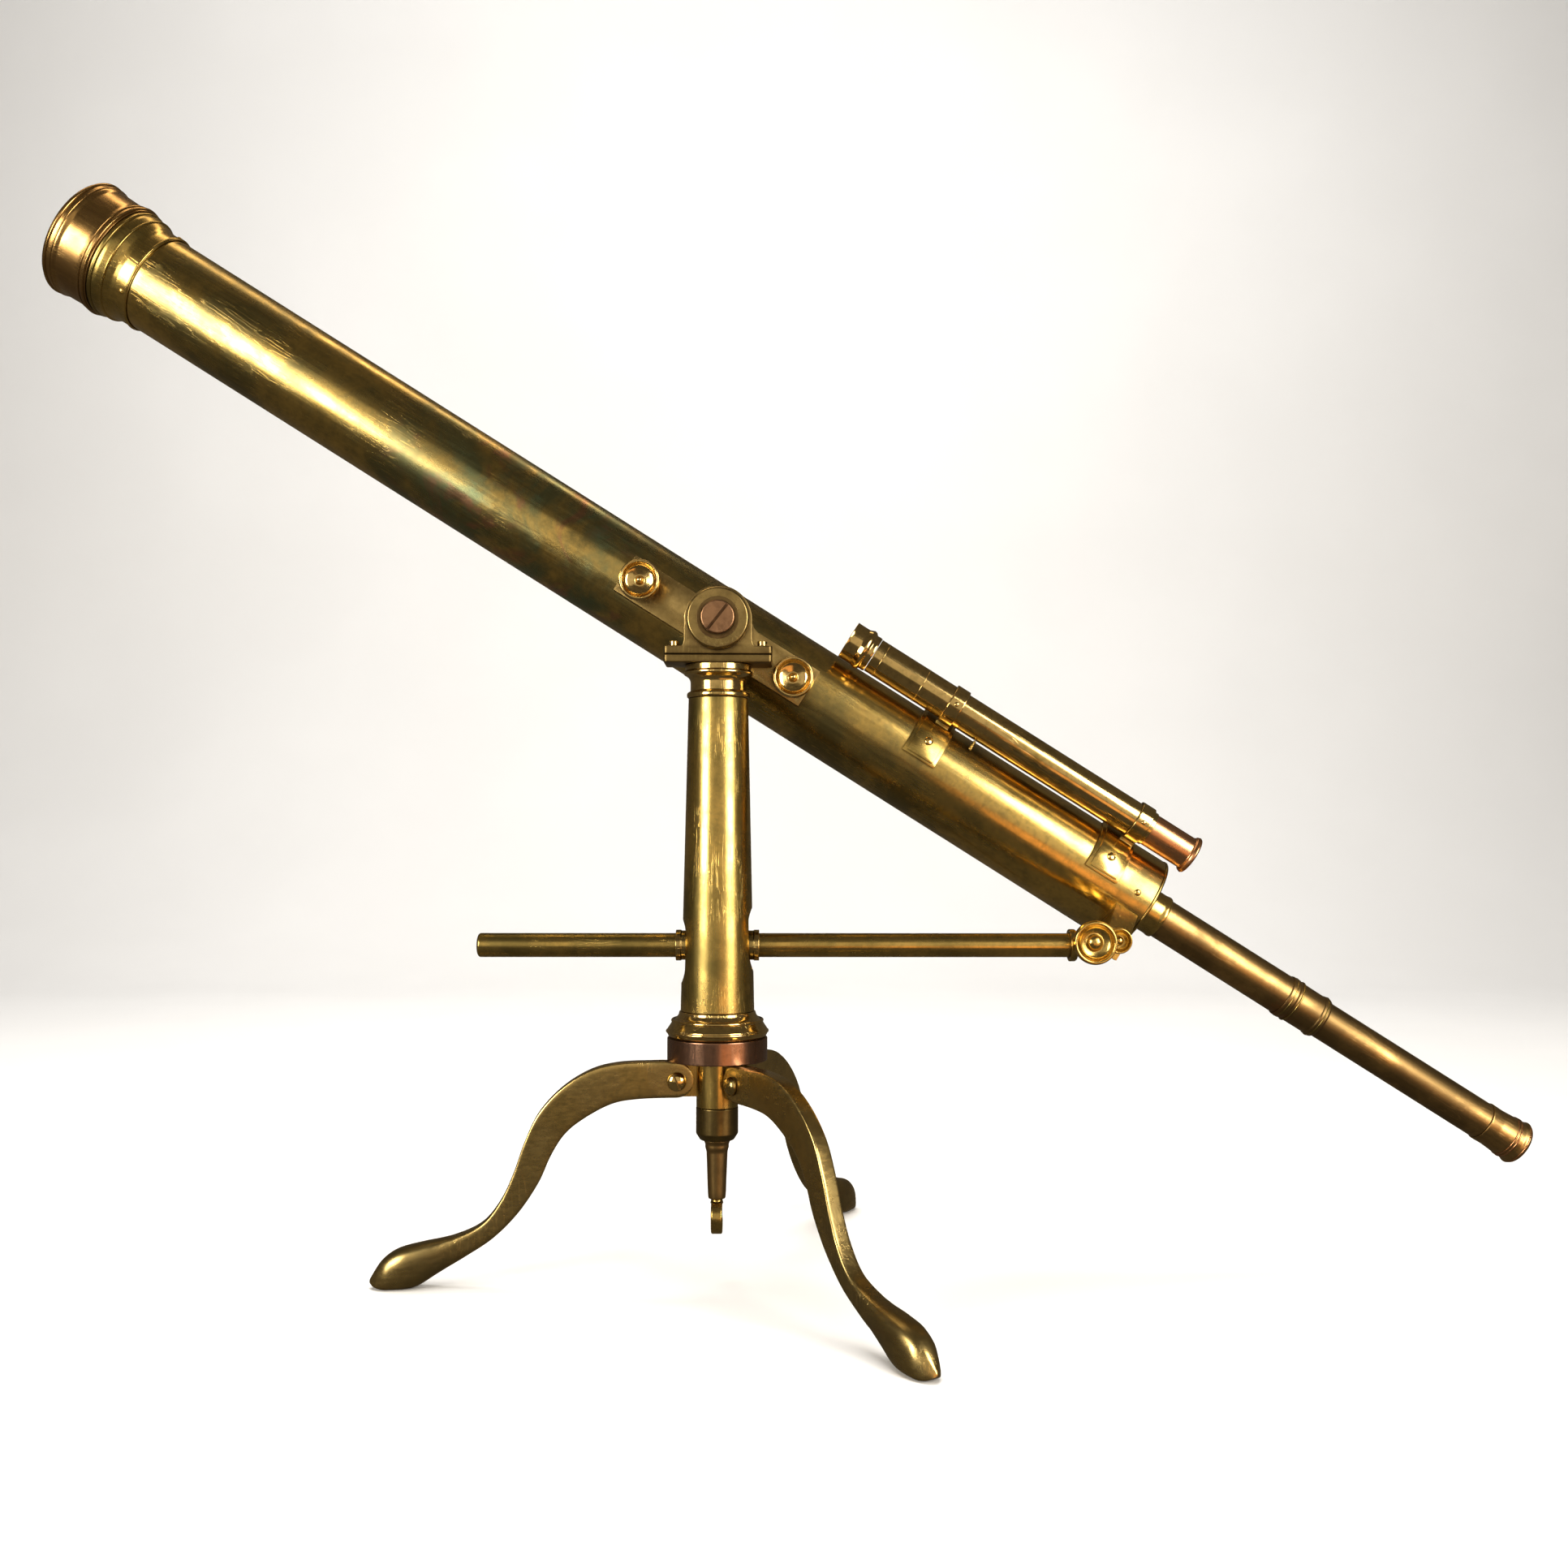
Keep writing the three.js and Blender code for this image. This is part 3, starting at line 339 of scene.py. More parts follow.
class Nodes:
    """Short calls for building a material's nodes."""

    def __init__(self, name):
        self.material = bpy.data.materials.new(name)
        self.material.use_nodes = True
        self.tree = self.material.node_tree
        self.shader = self.tree.nodes["Principled BSDF"]
        coordinates = self.tree.nodes.new("ShaderNodeTexCoord")
        self.place = coordinates.outputs["Object"]

    def join(self, value, socket):
        if isinstance(value, bpy.types.NodeSocket):
            self.tree.links.new(value, socket)
        else:
            socket.default_value = value

    def stretched(self, scale, rotation=(0, 0, 0)):
        node = self.tree.nodes.new("ShaderNodeMapping")
        node.inputs["Scale"].default_value = scale
        node.inputs["Rotation"].default_value = rotation
        self.join(self.place, node.inputs["Vector"])
        return node.outputs["Vector"]

    def noise(self, scale, detail=4, roughness=0.55, distortion=0.0, place=None):
        node = self.tree.nodes.new("ShaderNodeTexNoise")
        node.inputs["Scale"].default_value = scale
        node.inputs["Detail"].default_value = detail
        node.inputs["Roughness"].default_value = roughness
        node.inputs["Distortion"].default_value = distortion
        self.join(place or self.place, node.inputs["Vector"])
        return node.outputs["Fac"]

    def ramp(self, value, low, high, invert=False):
        """0 below low, 1 above high, smooth between."""
        node = self.tree.nodes.new("ShaderNodeMapRange")
        node.interpolation_type = "SMOOTHSTEP"
        node.inputs["From Min"].default_value = low
        node.inputs["From Max"].default_value = high
        node.inputs["To Min"].default_value = 1 if invert else 0
        node.inputs["To Max"].default_value = 0 if invert else 1
        self.join(value, node.inputs["Value"])
        return node.outputs["Result"]

    def math(self, operation, a, b):
        node = self.tree.nodes.new("ShaderNodeMath")
        node.operation = operation
        self.join(a, node.inputs[0])
        self.join(b, node.inputs[1])
        return node.outputs[0]

    def mix(self, factor, a, b):
        node = self.tree.nodes.new("ShaderNodeMix")
        node.data_type = "RGBA"
        self.join(factor, node.inputs["Factor"])
        self.join(a, node.inputs[6])
        self.join(b, node.inputs[7])
        return node.outputs[2]

    def along(self, axis):
        node = self.tree.nodes.new("ShaderNodeSeparateXYZ")
        self.join(self.place, node.inputs[0])
        return node.outputs[axis]

    def bump(self, height, distance, strength=1.0, under=None):
        node = self.tree.nodes.new("ShaderNodeBump")
        node.inputs["Distance"].default_value = distance
        node.inputs["Strength"].default_value = strength
        self.join(height, node.inputs["Height"])
        if under:
            self.join(under, node.inputs["Normal"])
        return node.outputs["Normal"]


def brass(name, clean, patina, stain, patina_share=0.45, roughness=0.24, brushed=(1, 1, 0.06), painted_shade=0.6,
          patch=None, patch_reach=0.16, stain_share=0.5, scratch=0.5):
    """Old brass: clean metal under blotches of olive patina and brown stains, with fine rubbing marks, scratches,
    and painted shade darkening its corners where ambient occlusion finds them. brushed stretches the rubbing
    marks along the piece, and patch is a point, in the piece's own frame, where the patina is thickest."""
    n = Nodes(name)
    clean, patina, stain = ((*c, 1) for c in (clean, patina, stain))
    big = n.noise(7.5, detail=5, roughness=0.6, distortion=0.5)
    cloud = n.noise(26, detail=6, roughness=0.62, distortion=0.25)
    fine = n.noise(160, detail=5, roughness=0.7)
    blotch = n.math("ADD", n.math("MULTIPLY", big, 0.62), n.math("MULTIPLY", cloud, 0.38))
    edge = 0.66 - 0.34 * patina_share
    covered = n.ramp(blotch, edge - 0.08, edge + 0.1)
    if patch is not None:
        node = n.tree.nodes.new("ShaderNodeVectorMath")
        node.operation = "DISTANCE"
        n.join(n.place, node.inputs[0])
        node.inputs[1].default_value = patch
        nearness = n.ramp(node.outputs["Value"], patch_reach * 0.25, patch_reach, invert=True)
        broken = n.ramp(n.math("ADD", cloud, n.math("MULTIPLY", big, 0.4)), 0.58, 0.8)
        covered = n.math("MAXIMUM", covered, n.math("MULTIPLY", nearness, broken))
        verdigris = n.math("MULTIPLY", nearness, n.ramp(n.noise(19, detail=5, distortion=0.6), 0.4, 0.62))
        rosy = n.math("MULTIPLY", nearness, n.ramp(n.noise(23, detail=5, distortion=0.9), 0.54, 0.66))
    stained = n.ramp(n.noise(15, detail=6, roughness=0.65, distortion=0.8), 0.7 - 0.16 * stain_share, 0.78)
    streaks = n.noise(420, detail=3, roughness=0.6, place=n.stretched(brushed))
    scratches = n.noise(60, detail=2, roughness=0.4, distortion=0.2,
                        place=n.stretched((6, 6, 0.5), (0.5, 0.3, 0.4)))
    thin = n.math("MULTIPLY", n.ramp(scratches, 0.485, 0.5), n.ramp(scratches, 0.5, 0.515, invert=True))
    thin = n.math("MULTIPLY", thin, n.ramp(n.noise(11, detail=2), 0.5, 0.6))
    colour = n.mix(n.math("MULTIPLY", covered, 0.95), clean, patina)
    colour = n.mix(n.math("MULTIPLY", stained, stain_share), colour, stain)
    if patch is not None:
        colour = n.mix(n.math("MULTIPLY", verdigris, 0.75), colour, VERDIGRIS)
        colour = n.mix(n.math("MULTIPLY", rosy, 0.6), colour, ROSE)
    colour = n.mix(n.math("MULTIPLY", n.ramp(fine, 0.42, 0.7), 0.36), colour, patina)
    colour = n.mix(n.math("MULTIPLY", thin, scratch), colour, clean)
    # Painted shade: the colour is darkened towards a near-black brown, and roughened, wherever the ambient
    # occlusion node finds a corner or crevice.
    corner = n.tree.nodes.new("ShaderNodeAmbientOcclusion")
    corner.samples = 8
    corner.inputs["Distance"].default_value = PAINTED_SHADE_REACH
    painted_shade_mask = n.math("MULTIPLY", n.ramp(corner.outputs["AO"], 0.35, 0.95, invert=True), painted_shade)
    colour = n.mix(painted_shade_mask, colour, PAINTED_SHADE_COLOUR)
    n.join(colour, n.shader.inputs["Base Color"])
    n.shader.inputs["Metallic"].default_value = 1.0
    rough = n.math("ADD", roughness, n.math("MULTIPLY", covered, 0.12))
    rough = n.math("ADD", rough, n.math("MULTIPLY", n.ramp(streaks, 0.3, 0.8), 0.07))
    rough = n.math("ADD", rough, n.math("MULTIPLY", painted_shade_mask, 0.25))
    n.join(rough, n.shader.inputs["Roughness"])
    uneven = n.bump(n.noise(34, detail=3), 0.25 * MM, 0.35)
    rubbed = n.bump(streaks, 0.03 * MM, 0.5, uneven)
    n.join(n.bump(thin, -0.05 * MM, 0.6, rubbed), n.shader.inputs["Normal"])
    return n.material


def glass(name):
    n = Nodes(name)
    n.shader.inputs["Base Color"].default_value = (0.86, 0.93, 0.9, 1)
    n.shader.inputs["Transmission Weight"].default_value = 1.0
    n.shader.inputs["IOR"].default_value = 1.52
    n.shader.inputs["Coat Weight"].default_value = 0.3
    n.join(n.math("ADD", 0.015, n.math("MULTIPLY", n.ramp(n.noise(70, detail=5), 0.5, 0.8), 0.05)),
           n.shader.inputs["Roughness"])
    return n.material


def blackened(name):
    """The dull black lacquer inside the tubes."""
    n = Nodes(name)
    worn = n.ramp(n.noise(90, detail=6, roughness=0.7), 0.56, 0.7)
    n.join(n.mix(worn, (0.012, 0.011, 0.01, 1), (0.05, 0.035, 0.018, 1)), n.shader.inputs["Base Color"])
    n.join(n.math("ADD", 0.55, n.math("MULTIPLY", worn, 0.2)), n.shader.inputs["Roughness"])
    n.join(n.bump(n.noise(260, detail=4), 0.08 * MM, 0.5), n.shader.inputs["Normal"])
    return n.material


VERDIGRIS = (0.17, 0.25, 0.14, 1)
ROSE = (0.5, 0.2, 0.12, 1)
# Painted shade: the near-black brown laid into corners, and how far the occlusion looks for them.
PAINTED_SHADE_COLOUR = (0.045, 0.026, 0.01, 1)
PAINTED_SHADE_REACH = 4 * MM
GOLD = (0.78, 0.52, 0.145)
OLIVE = (0.25, 0.185, 0.055)
BROWN = (0.33, 0.15, 0.05)
PATCH_PLACE = (0.0, -0.04, 0.17)

LOOKS = {
    "tube_brass": brass("tube_brass", GOLD, (0.21, 0.17, 0.065), (0.36, 0.17, 0.06), 0.5, 0.16,
                        patch=PATCH_PLACE, patch_reach=0.2),
    "brass": brass("brass", GOLD, OLIVE, BROWN, 0.5, 0.17),
    "bright_brass": brass("bright_brass", (0.78, 0.54, 0.2), OLIVE, BROWN, 0.25, 0.11,
                          stain_share=0.25),
    "leg_brass": brass("leg_brass", (0.66, 0.46, 0.16), (0.3, 0.22, 0.085), BROWN, 0.4, 0.19,
                       brushed=(0.3, 0.3, 1), scratch=0.8),
    # The cast brass takes stronger painted shade in its corners than the default.
    "cast_brass": brass("cast_brass", (0.46, 0.32, 0.115), (0.15, 0.1, 0.035), (0.13, 0.06, 0.02), 0.56, 0.24,
                        brushed=(1, 1, 1), painted_shade=0.8),
    "dark_brass": brass("dark_brass", (0.50, 0.31, 0.11), (0.19, 0.12, 0.045), (0.42, 0.1, 0.03), 0.55, 0.27,
                        stain_share=0.6),
    "aged_cap": brass("aged_cap", (0.62, 0.37, 0.12), (0.3, 0.17, 0.06), (0.34, 0.12, 0.04), 0.45, 0.17),
    "copper_stain": brass("copper_stain", (0.62, 0.3, 0.13), (0.3, 0.13, 0.05), BROWN, 0.4, 0.2),
    "bronze": brass("bronze", (0.37, 0.2, 0.1), (0.11, 0.055, 0.03), (0.36, 0.13, 0.05), 0.5, 0.33,
                    brushed=(1, 1, 1), scratch=0.8),
    "copper": brass("copper", (0.72, 0.36, 0.17), (0.42, 0.2, 0.08), (0.5, 0.16, 0.06), 0.45, 0.24),
    "gunmetal": brass("gunmetal", (0.37, 0.2, 0.125), (0.17, 0.095, 0.055), (0.24, 0.1, 0.05), 0.45, 0.2,
                      stain_share=0.3),
    "nut_brass": brass("nut_brass", (0.3, 0.21, 0.07), (0.12, 0.08, 0.03), BROWN, 0.5, 0.22),
    "dark_ring": brass("dark_ring", (0.2, 0.13, 0.05), (0.09, 0.05, 0.02), BROWN, 0.5, 0.3),
    "glass": glass("glass"),
    "black": blackened("black"),
}


def dress(piece, look, body, bore="black"):
    """Gives a new piece its look, its bore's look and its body."""
    piece.data.materials.append(LOOKS[look])
    piece.data.materials.append(LOOKS[bore])
    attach(piece, body)
    return piece


def stand_for(piece, node, look, bore="black"):
    """The piece takes the place of a CAD node."""
    dress(piece, look, BODY_OF[node], bore)
    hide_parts(node)
    return piece


# ---- Turned pieces --------------------------------------------------------------------------------------

# node: (its frame, its look, the ease of its corners in millimetres, the look of its bore)
TURNED = {
    "main_tube": (TUBE, "tube_brass", 0.3, "black"),
    "objective_cell": (TUBE, "brass", 0.8, "black"),
    "lens_retaining_ring": (TUBE, "dark_brass", 0.3, "dark_brass"),
    "crown_lens": (TUBE, "glass", 4.0, "glass"),
    "flint_lens": (TUBE, "glass", 4.0, "glass"),
    "dew_cap": (TUBE, "aged_cap", 0.7, "black"),
    "tail_cap": (TUBE, "brass", 0.5, "black"),
    "draw_sleeve": (TUBE, "brass", 0.7, "black"),
    "draw_tube_1": (TUBE, "dark_brass", 0.2, "black"),
    "draw_ferrule": (TUBE, "dark_brass", 0.4, "black"),
    "draw_tube_2": (TUBE, "dark_brass", 0.2, "black"),
    "eyecup": (TUBE, "dark_brass", 0.8, "black"),
    "eye_lens": (TUBE, "glass", 2.0, "glass"),
    "field_lens": (TUBE, "glass", 2.0, "glass"),
    "erector_lens": (TUBE, "glass", 2.0, "glass"),
    "finder_tube": (FINDER, "bright_brass", 0.2, "black"),
    "finder_cell": (FINDER, "bright_brass", 0.6, "black"),
    "finder_lens": (FINDER, "glass", 2.0, "glass"),
    "finder_collar_front": (FINDER, "bright_brass", 0.8, "brass"),
    "finder_collar_rear": (FINDER, "bright_brass", 0.8, "brass"),
    "finder_eyepiece_tube": (FINDER, "copper", 0.9, "black"),
    "finder_eye_lens": (FINDER, "glass", 2.0, "glass"),
    "collar_ring": (STAND, "gunmetal", 0.6, "gunmetal"),
    "base_moulding": (STAND, "bright_brass", 0.9, "brass"),
    "hub_nut": (STAND, "nut_brass", 0.6, "dark_brass"),
    "hook_stem": (STAND, "dark_brass", 1.2, "dark_brass"),
    "azimuth_spindle": (STAND, "brass", 0.4, "brass"),
    "steady_rod": (ROD, "brass", 1.0, "brass"),
    "rod_guide": (ROD, "bright_brass", 0.5, "brass"),
    "trunnion_disc": (facing_front("trunnion_disc"), "cast_brass", 0.7, "cast_brass"),
    "thumb_knob_upper": (facing_front("thumb_knob_upper"), "bright_brass", 3.0, "bright_brass"),
    "thumb_knob_lower": (facing_front("thumb_knob_lower"), "bright_brass", 3.0, "bright_brass"),
    "rod_knob_large": (facing_front("rod_knob_large"), "brass", 3.0, "brass"),
    "rod_knob_small": (facing_front("rod_knob_small"), "brass", 2.0, "brass"),
}

for node, (matrix, look, ease, bore) in TURNED.items():
    stand_for(turned_again(node, matrix, ease * MM), node, look, bore)


def bead(name, matrix, radius, height, size, look, body):
    """A half-round ring standing proud of a turned piece."""
    points = [(radius - 0.3 * size, height - size)]
    points += [(radius + size * math.cos(a), height + size * math.sin(a))
               for a in (math.radians(d) for d in range(-75, 90, 15))]
    points.append((radius - 0.3 * size, height + size))
    dress(revolved(name, points, True, matrix, 96, 0.05 * size), look, body)


CAP_BACK, CAP_FRONT = stations_of("dew_cap", TUBE)
CELL_BACK = stations_of("objective_cell", TUBE)[0]
EYECUP_BACK = stations_of("eyecup", TUBE)[0]
FERRULE_BACK = stations_of("draw_ferrule", TUBE)[0]
MOULDING_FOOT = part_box("base_moulding")[0].z
FINDER_CELL = (FINDER.inverted() @ middle("finder_cell")).z

# name, frame, look, body and slot, and each bead's height, radius and size
BEADS = (
    ("cap_bead", TUBE, "aged_cap", "dew_cap", "brass",
     ((CAP_FRONT - 3.2 * MM, 50.0 * MM, 1.4 * MM), (CAP_FRONT - 8.2 * MM, 49.9 * MM, 0.8 * MM),
      (CAP_BACK + 2.6 * MM, 48.9 * MM, 1.5 * MM), (CAP_BACK + 6.8 * MM, 48.7 * MM, 0.9 * MM))),
    ("cell_bead", TUBE, "brass", "telescope", "brass",
     ((CELL_BACK + 32 * MM, 47.2 * MM, 1.3 * MM), (CELL_BACK + 22.5 * MM, 45.6 * MM, 1.2 * MM),
      (CELL_BACK + 1.6 * MM, 42.4 * MM, 1.2 * MM))),
    ("eyecup_bead", TUBE, "copper_stain", "eyepiece", "aged_brass",
     ((EYECUP_BACK + 2.8 * MM, 18.5 * MM, 0.8 * MM), (EYECUP_BACK + 10.5 * MM, 17.6 * MM, 0.8 * MM),
      (EYECUP_BACK + 13.2 * MM, 17.4 * MM, 0.8 * MM))),
    ("ferrule_bead", TUBE, "brass", "draw_tube", "aged_brass",
     ((FERRULE_BACK + 3.4 * MM, 18.0 * MM, 0.7 * MM), (FERRULE_BACK + 27.4 * MM, 18.0 * MM, 0.7 * MM),
      (FERRULE_BACK + 33.8 * MM, 18.0 * MM, 0.7 * MM))),
    ("moulding_bead", STAND, "bright_brass", "pillar", "brass",
     ((MOULDING_FOOT + 4.8 * MM, 39.5 * MM, 1.3 * MM), (MOULDING_FOOT + 13.2 * MM, 35.4 * MM, 1.3 * MM))),
    ("finder_bead", FINDER, "bright_brass", "telescope", "brass",
     ((FINDER_CELL - 21.0 * MM, 14.8 * MM, 0.35 * MM), (FINDER_CELL - 60.0 * MM, 14.8 * MM, 0.35 * MM))),
)
for name, matrix, look, body, slot, beads in BEADS:
    for k, (height, radius, size) in enumerate(beads):
        bead(f"{name}_{k + 1}", matrix, radius, height, size, look, body)

# ---- Pillar ---------------------------------------------------------------------------------------------

def pillar_tube():
    """The tapered tube with its two guide slots, whose heights come from the CAD tube's own corners."""
    low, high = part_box("pillar_tube")
    foot = (high.x - low.x) / 2
    inverse = STAND.inverted()
    local = [inverse @ v.co for v in frame["nodes"]["pillar_tube"].data.vertices]
    top = max(math.hypot(p.x, p.y) for p in local if p.z > high.z - 2 * MM)
    wall = foot - min(math.hypot(p.x, p.y) for p in local if p.z < low.z + 2 * MM)
    points = [(foot - wall, low.z), (foot, low.z), (top, high.z), (top - wall, high.z)]
    tube = revolved("pillar_tube_fine", points, True, STAND, radius=0.4 * MM)
    inner = [p for p in local if low.z + 5 * MM < p.z < high.z - 5 * MM]
    half = max(abs(p.y) for p in inner if abs(p.x) > foot * 0.8)
    for side in (1, -1):
        rim = [p.z for p in inner if side * p.x > 0]
        bottom, head = min(rim), max(rim)
        centre_low, centre_high = bottom + half, head - half
        outline = arc((0, centre_high), half, 0, 180) + arc((0, centre_low), half, 180, 360)
        at = axes_at(STAND.translation, (side, 0, 0), (0, 0, 1))
        boolean(tube, prism("slot", outline, foot * 0.45, foot * 1.4, at))
    smooth_shaded(tube.data)
    return tube


stand_for(pillar_tube(), "pillar_tube", "brass")

# Radius and height above the capital's foot, in millimetres, round the outline.
CAPITAL_PROFILE = (
    (12, 0), (24.2, 0), (25, 0.8), (25.2, 2.2), (25, 3.6), (24.2, 4.6), (22.6, 5.2), (22.3, 6.2),
    (22.3, 12.6), (22.7, 14.4), (23.8, 16.2), (25.6, 17.6), (27.2, 18.4), (27.8, 19.2), (27.8, 20.6),
    (27, 21.3), (26.4, 21.8), (26.4, 26.6), (12, 26.6))
CAPITAL_FLAT = (15 * MM, 30 * MM)    # the heights between which it is cut flat, clear of the trunnion bar
BAR_CLEARANCE = 1 * MM


def pillar_capital():
    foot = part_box("pillar_capital")[0].z
    profile = [(r * MM, foot + z * MM) for r, z in CAPITAL_PROFILE]
    capital = revolved("pillar_capital_fine", profile, True, STAND, radius=0.8 * MM)
    flat_start = middle("main_tube").y - BAR_FRONT - BAR_CLEARANCE - PILLAR.y
    corners = [(-0.04, flat_start), (0.04, flat_start), (0.04, 0.06), (-0.04, 0.06)]
    flat_at = Matrix.Translation((PILLAR.x, PILLAR.y, foot))
    boolean(capital, prism("flat", corners, *CAPITAL_FLAT, flat_at))
    smooth_shaded(capital.data)
    return capital


stand_for(pillar_capital(), "pillar_capital", "bright_brass")


def round_cornered(half_x, half_y, corner):
    """A rectangle with round corners about the origin."""
    outline = []
    for k, (sx, sy) in enumerate(((1, 1), (-1, 1), (-1, -1), (1, -1))):
        outline += arc((sx * (half_x - corner), sy * (half_y - corner)), corner, 90 * k, 90 * (k + 1), 6)
    return outline


def flange_plate(name, low, high):
    size = high - low
    at = axes_at(((low.x + high.x) / 2, (low.y + high.y) / 2, 0), (0, 0, 1))
    return prism(name, round_cornered(size.x / 2, size.y / 2, 3 * MM), low.z, high.z, at)


plate_low, plate_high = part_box("pillar_top_plate")
stand_for(bevelled(flange_plate("pillar_top_plate_fine", plate_low, plate_high), 0.9 * MM),
          "pillar_top_plate", "cast_brass")


def bearing_block():
    """A flange with an upright cheek, round at its top and flared at its foot, and the axle's bore."""
    low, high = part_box("bearing_block")
    thickness = plate_high.z - plate_low.z
    half = high.z - ALTITUDE.z
    disc_low, disc_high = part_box("trunnion_disc")
    bore = (disc_high.z - disc_low.z) * 0.25
    flange = flange_plate("bearing_block_fine", low, Vector((high.x, high.y, low.z + thickness)))
    at = axes_at((ALTITUDE.x, (low.y + high.y) / 2, ALTITUDE.z), (0, -1, 0), (0, 0, 1))
    depth = (high.y - low.y) / 2
    rise = low.z + thickness - 1 * MM - ALTITUDE.z
    foot = rise + 5 * MM
    outline = arc((0, 0), half, 0, 180, 48) + [(-half, foot), (-half - 0.8 * MM, rise + 2.6 * MM)]
    outline += [(-half - 2.4 * MM, rise), (half + 2.4 * MM, rise)]
    outline += [(half + 0.8 * MM, rise + 2.6 * MM), (half, foot)]
    cheek = prism("cheek", outline, -depth, depth, at)
    boolean(flange, cheek, "UNION")
    drilled(flange, bore, 0.05, at)
    return bevelled(flange, 0.8 * MM)


stand_for(bearing_block(), "bearing_block", "cast_brass")

# ---- Screws ---------------------------------------------------------------------------------------------

def slotted(name, radius, height, matrix, domed=False, shank=2 * MM, turn=30):
    """A screw's head with its slot, on z = 0, and the start of its shank below."""
    if domed:
        points = [(0, -shank), (radius * 0.4, -shank), (radius * 0.4, 0), (radius, 0)]
        points.append((radius, height * 0.25))
        points += [(radius * math.cos(a), height * (0.25 + 0.75 * math.sin(a)))
                   for a in (math.radians(d) for d in range(10, 90, 10))] + [(0, height)]
    else:
        points = [(0, -shank), (radius * 0.5, -shank), (radius * 0.5, 0), (radius * 0.97, 0),
                  (radius, height * 0.1), (radius, height * 0.9), (radius * 0.94, height), (0, height)]
    head = revolved(name, points, False, matrix, 64, 0.12 * radius)
    half = radius * 0.085
    corners = [(-half, -radius * 1.3), (half, -radius * 1.3), (half, radius * 1.3), (-half, radius * 1.3)]
    turned_at = matrix @ Matrix.Rotation(math.radians(turn), 4, "Z")
    boolean(head, prism("slot", corners, height * 0.55, height * 1.5, turned_at))
    smooth_shaded(head.data)
    return head


BLOCK_SCREW_SEAT = plate_high.z * 2 - plate_low.z + 0.6 * MM

for i in range(1, 5):
    node = f"block_screw_{i}"
    low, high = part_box(node)
    at = axes_at((*middle(node).xy, BLOCK_SCREW_SEAT), (0, 0, 1))
    screw = slotted(node + "_fine", (high.x - low.x) / 2, high.z - BLOCK_SCREW_SEAT, at, turn=25 + 70 * i)
    stand_for(screw, node, "bright_brass")

screw_low, screw_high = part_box("trunnion_screw")
disc_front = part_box("trunnion_disc")[0].y
at = axes_at((ALTITUDE.x, disc_front, ALTITUDE.z), (0, -1, 0), (0, 0, 1))
stand_for(slotted("trunnion_screw_fine", (screw_high.x - screw_low.x) / 2, disc_front - screw_low.y, at,
                  shank=6 * MM, turn=-38), "trunnion_screw", "bronze")

ring = [(13.7 * MM, -0.2 * MM), (16.6 * MM, -0.2 * MM), (16.6 * MM, 0.5 * MM), (13.7 * MM, 0.5 * MM)]
washer = revolved("trunnion_washer", ring, True, at, 96, 0.2 * MM)
dress(washer, "dark_ring", "telescope", "dark_ring")


def tube_angle(angle, radius, station):
    """A frame on the main tube, z outward, at an angle from the front and a station along the tube."""
    a = math.radians(angle)
    outward = Vector((math.sin(a), -math.cos(a), 0))
    place = TUBE @ (outward * radius + Vector((0, 0, station)))
    return axes_at(place, TUBE.to_3x3() @ outward, OPTICAL)


TUBE_BACK, TUBE_FRONT = stations_of("main_tube", TUBE)
TUBE_LOCAL = [TUBE.inverted() @ v.co for v in frame["nodes"]["main_tube"].data.vertices]
TUBE_RADIUS = max(math.hypot(p.x, p.y) for p in TUBE_LOCAL)
TAIL_SCREW_SETBACK = 14 * MM
CELL_SCREW_SETBACK = 7 * MM
CELL_SKIRT = 1.2 * MM                # the cell's skirt over the tube, which its screws go through


def small_screw(name, at, radius, height, look="brass", turn=0):
    dress(slotted(name, radius, height, at, domed=True, turn=turn), look, "telescope")


for i, angle in enumerate((5, 125, 245)):
    small_screw(f"tail_screw_{i + 1}", tube_angle(angle, TUBE_RADIUS, TUBE_BACK + TAIL_SCREW_SETBACK),
                2.7 * MM, 1.5 * MM, turn=40 * i)
for i, angle in enumerate((-35, 85, 205)):
    at = tube_angle(angle, TUBE_RADIUS + CELL_SKIRT, TUBE_FRONT - CELL_SCREW_SETBACK)
    small_screw(f"cell_screw_{i + 1}", at, 2.3 * MM, 1.2 * MM, turn=70 * i)

# ---- Trunnion bar ---------------------------------------------------------------------------------------

BAR_HALF = 16.75 * MM
BAR_END = 89 * MM
BAR_THICKNESS = 13 * MM
BOSS_RADIUS = 27 * MM
BOSS_OFFSET = (TUBE.inverted() @ ALTITUDE).x
FILLET = 11 * MM
AXLE_RADIUS = 11.8 * MM
TUBE_GAP = 0.3 * MM                  # between the tube and what is fitted round it
KNOB_HOLE = 7.2 * MM                 # clears the eased corner under the knob, and is hidden by it


def bar_side(offset):
    """One edge of the bar, from its upper end to its lower, round the boss and its two fillets."""
    reach = BAR_HALF + FILLET - offset
    rise = math.sqrt((BOSS_RADIUS + FILLET) ** 2 - reach ** 2)
    swing = math.degrees(math.atan2(rise, reach))
    edge = [(BAR_HALF, BAR_END)]
    edge += arc((BAR_HALF + FILLET, rise), FILLET, 180, 180 + swing, 10)
    edge += arc((offset, 0), BOSS_RADIUS, swing, -swing, 30)
    edge += arc((BAR_HALF + FILLET, -rise), FILLET, 180 - swing, 180, 10)
    return edge + [(BAR_HALF, -BAR_END)]


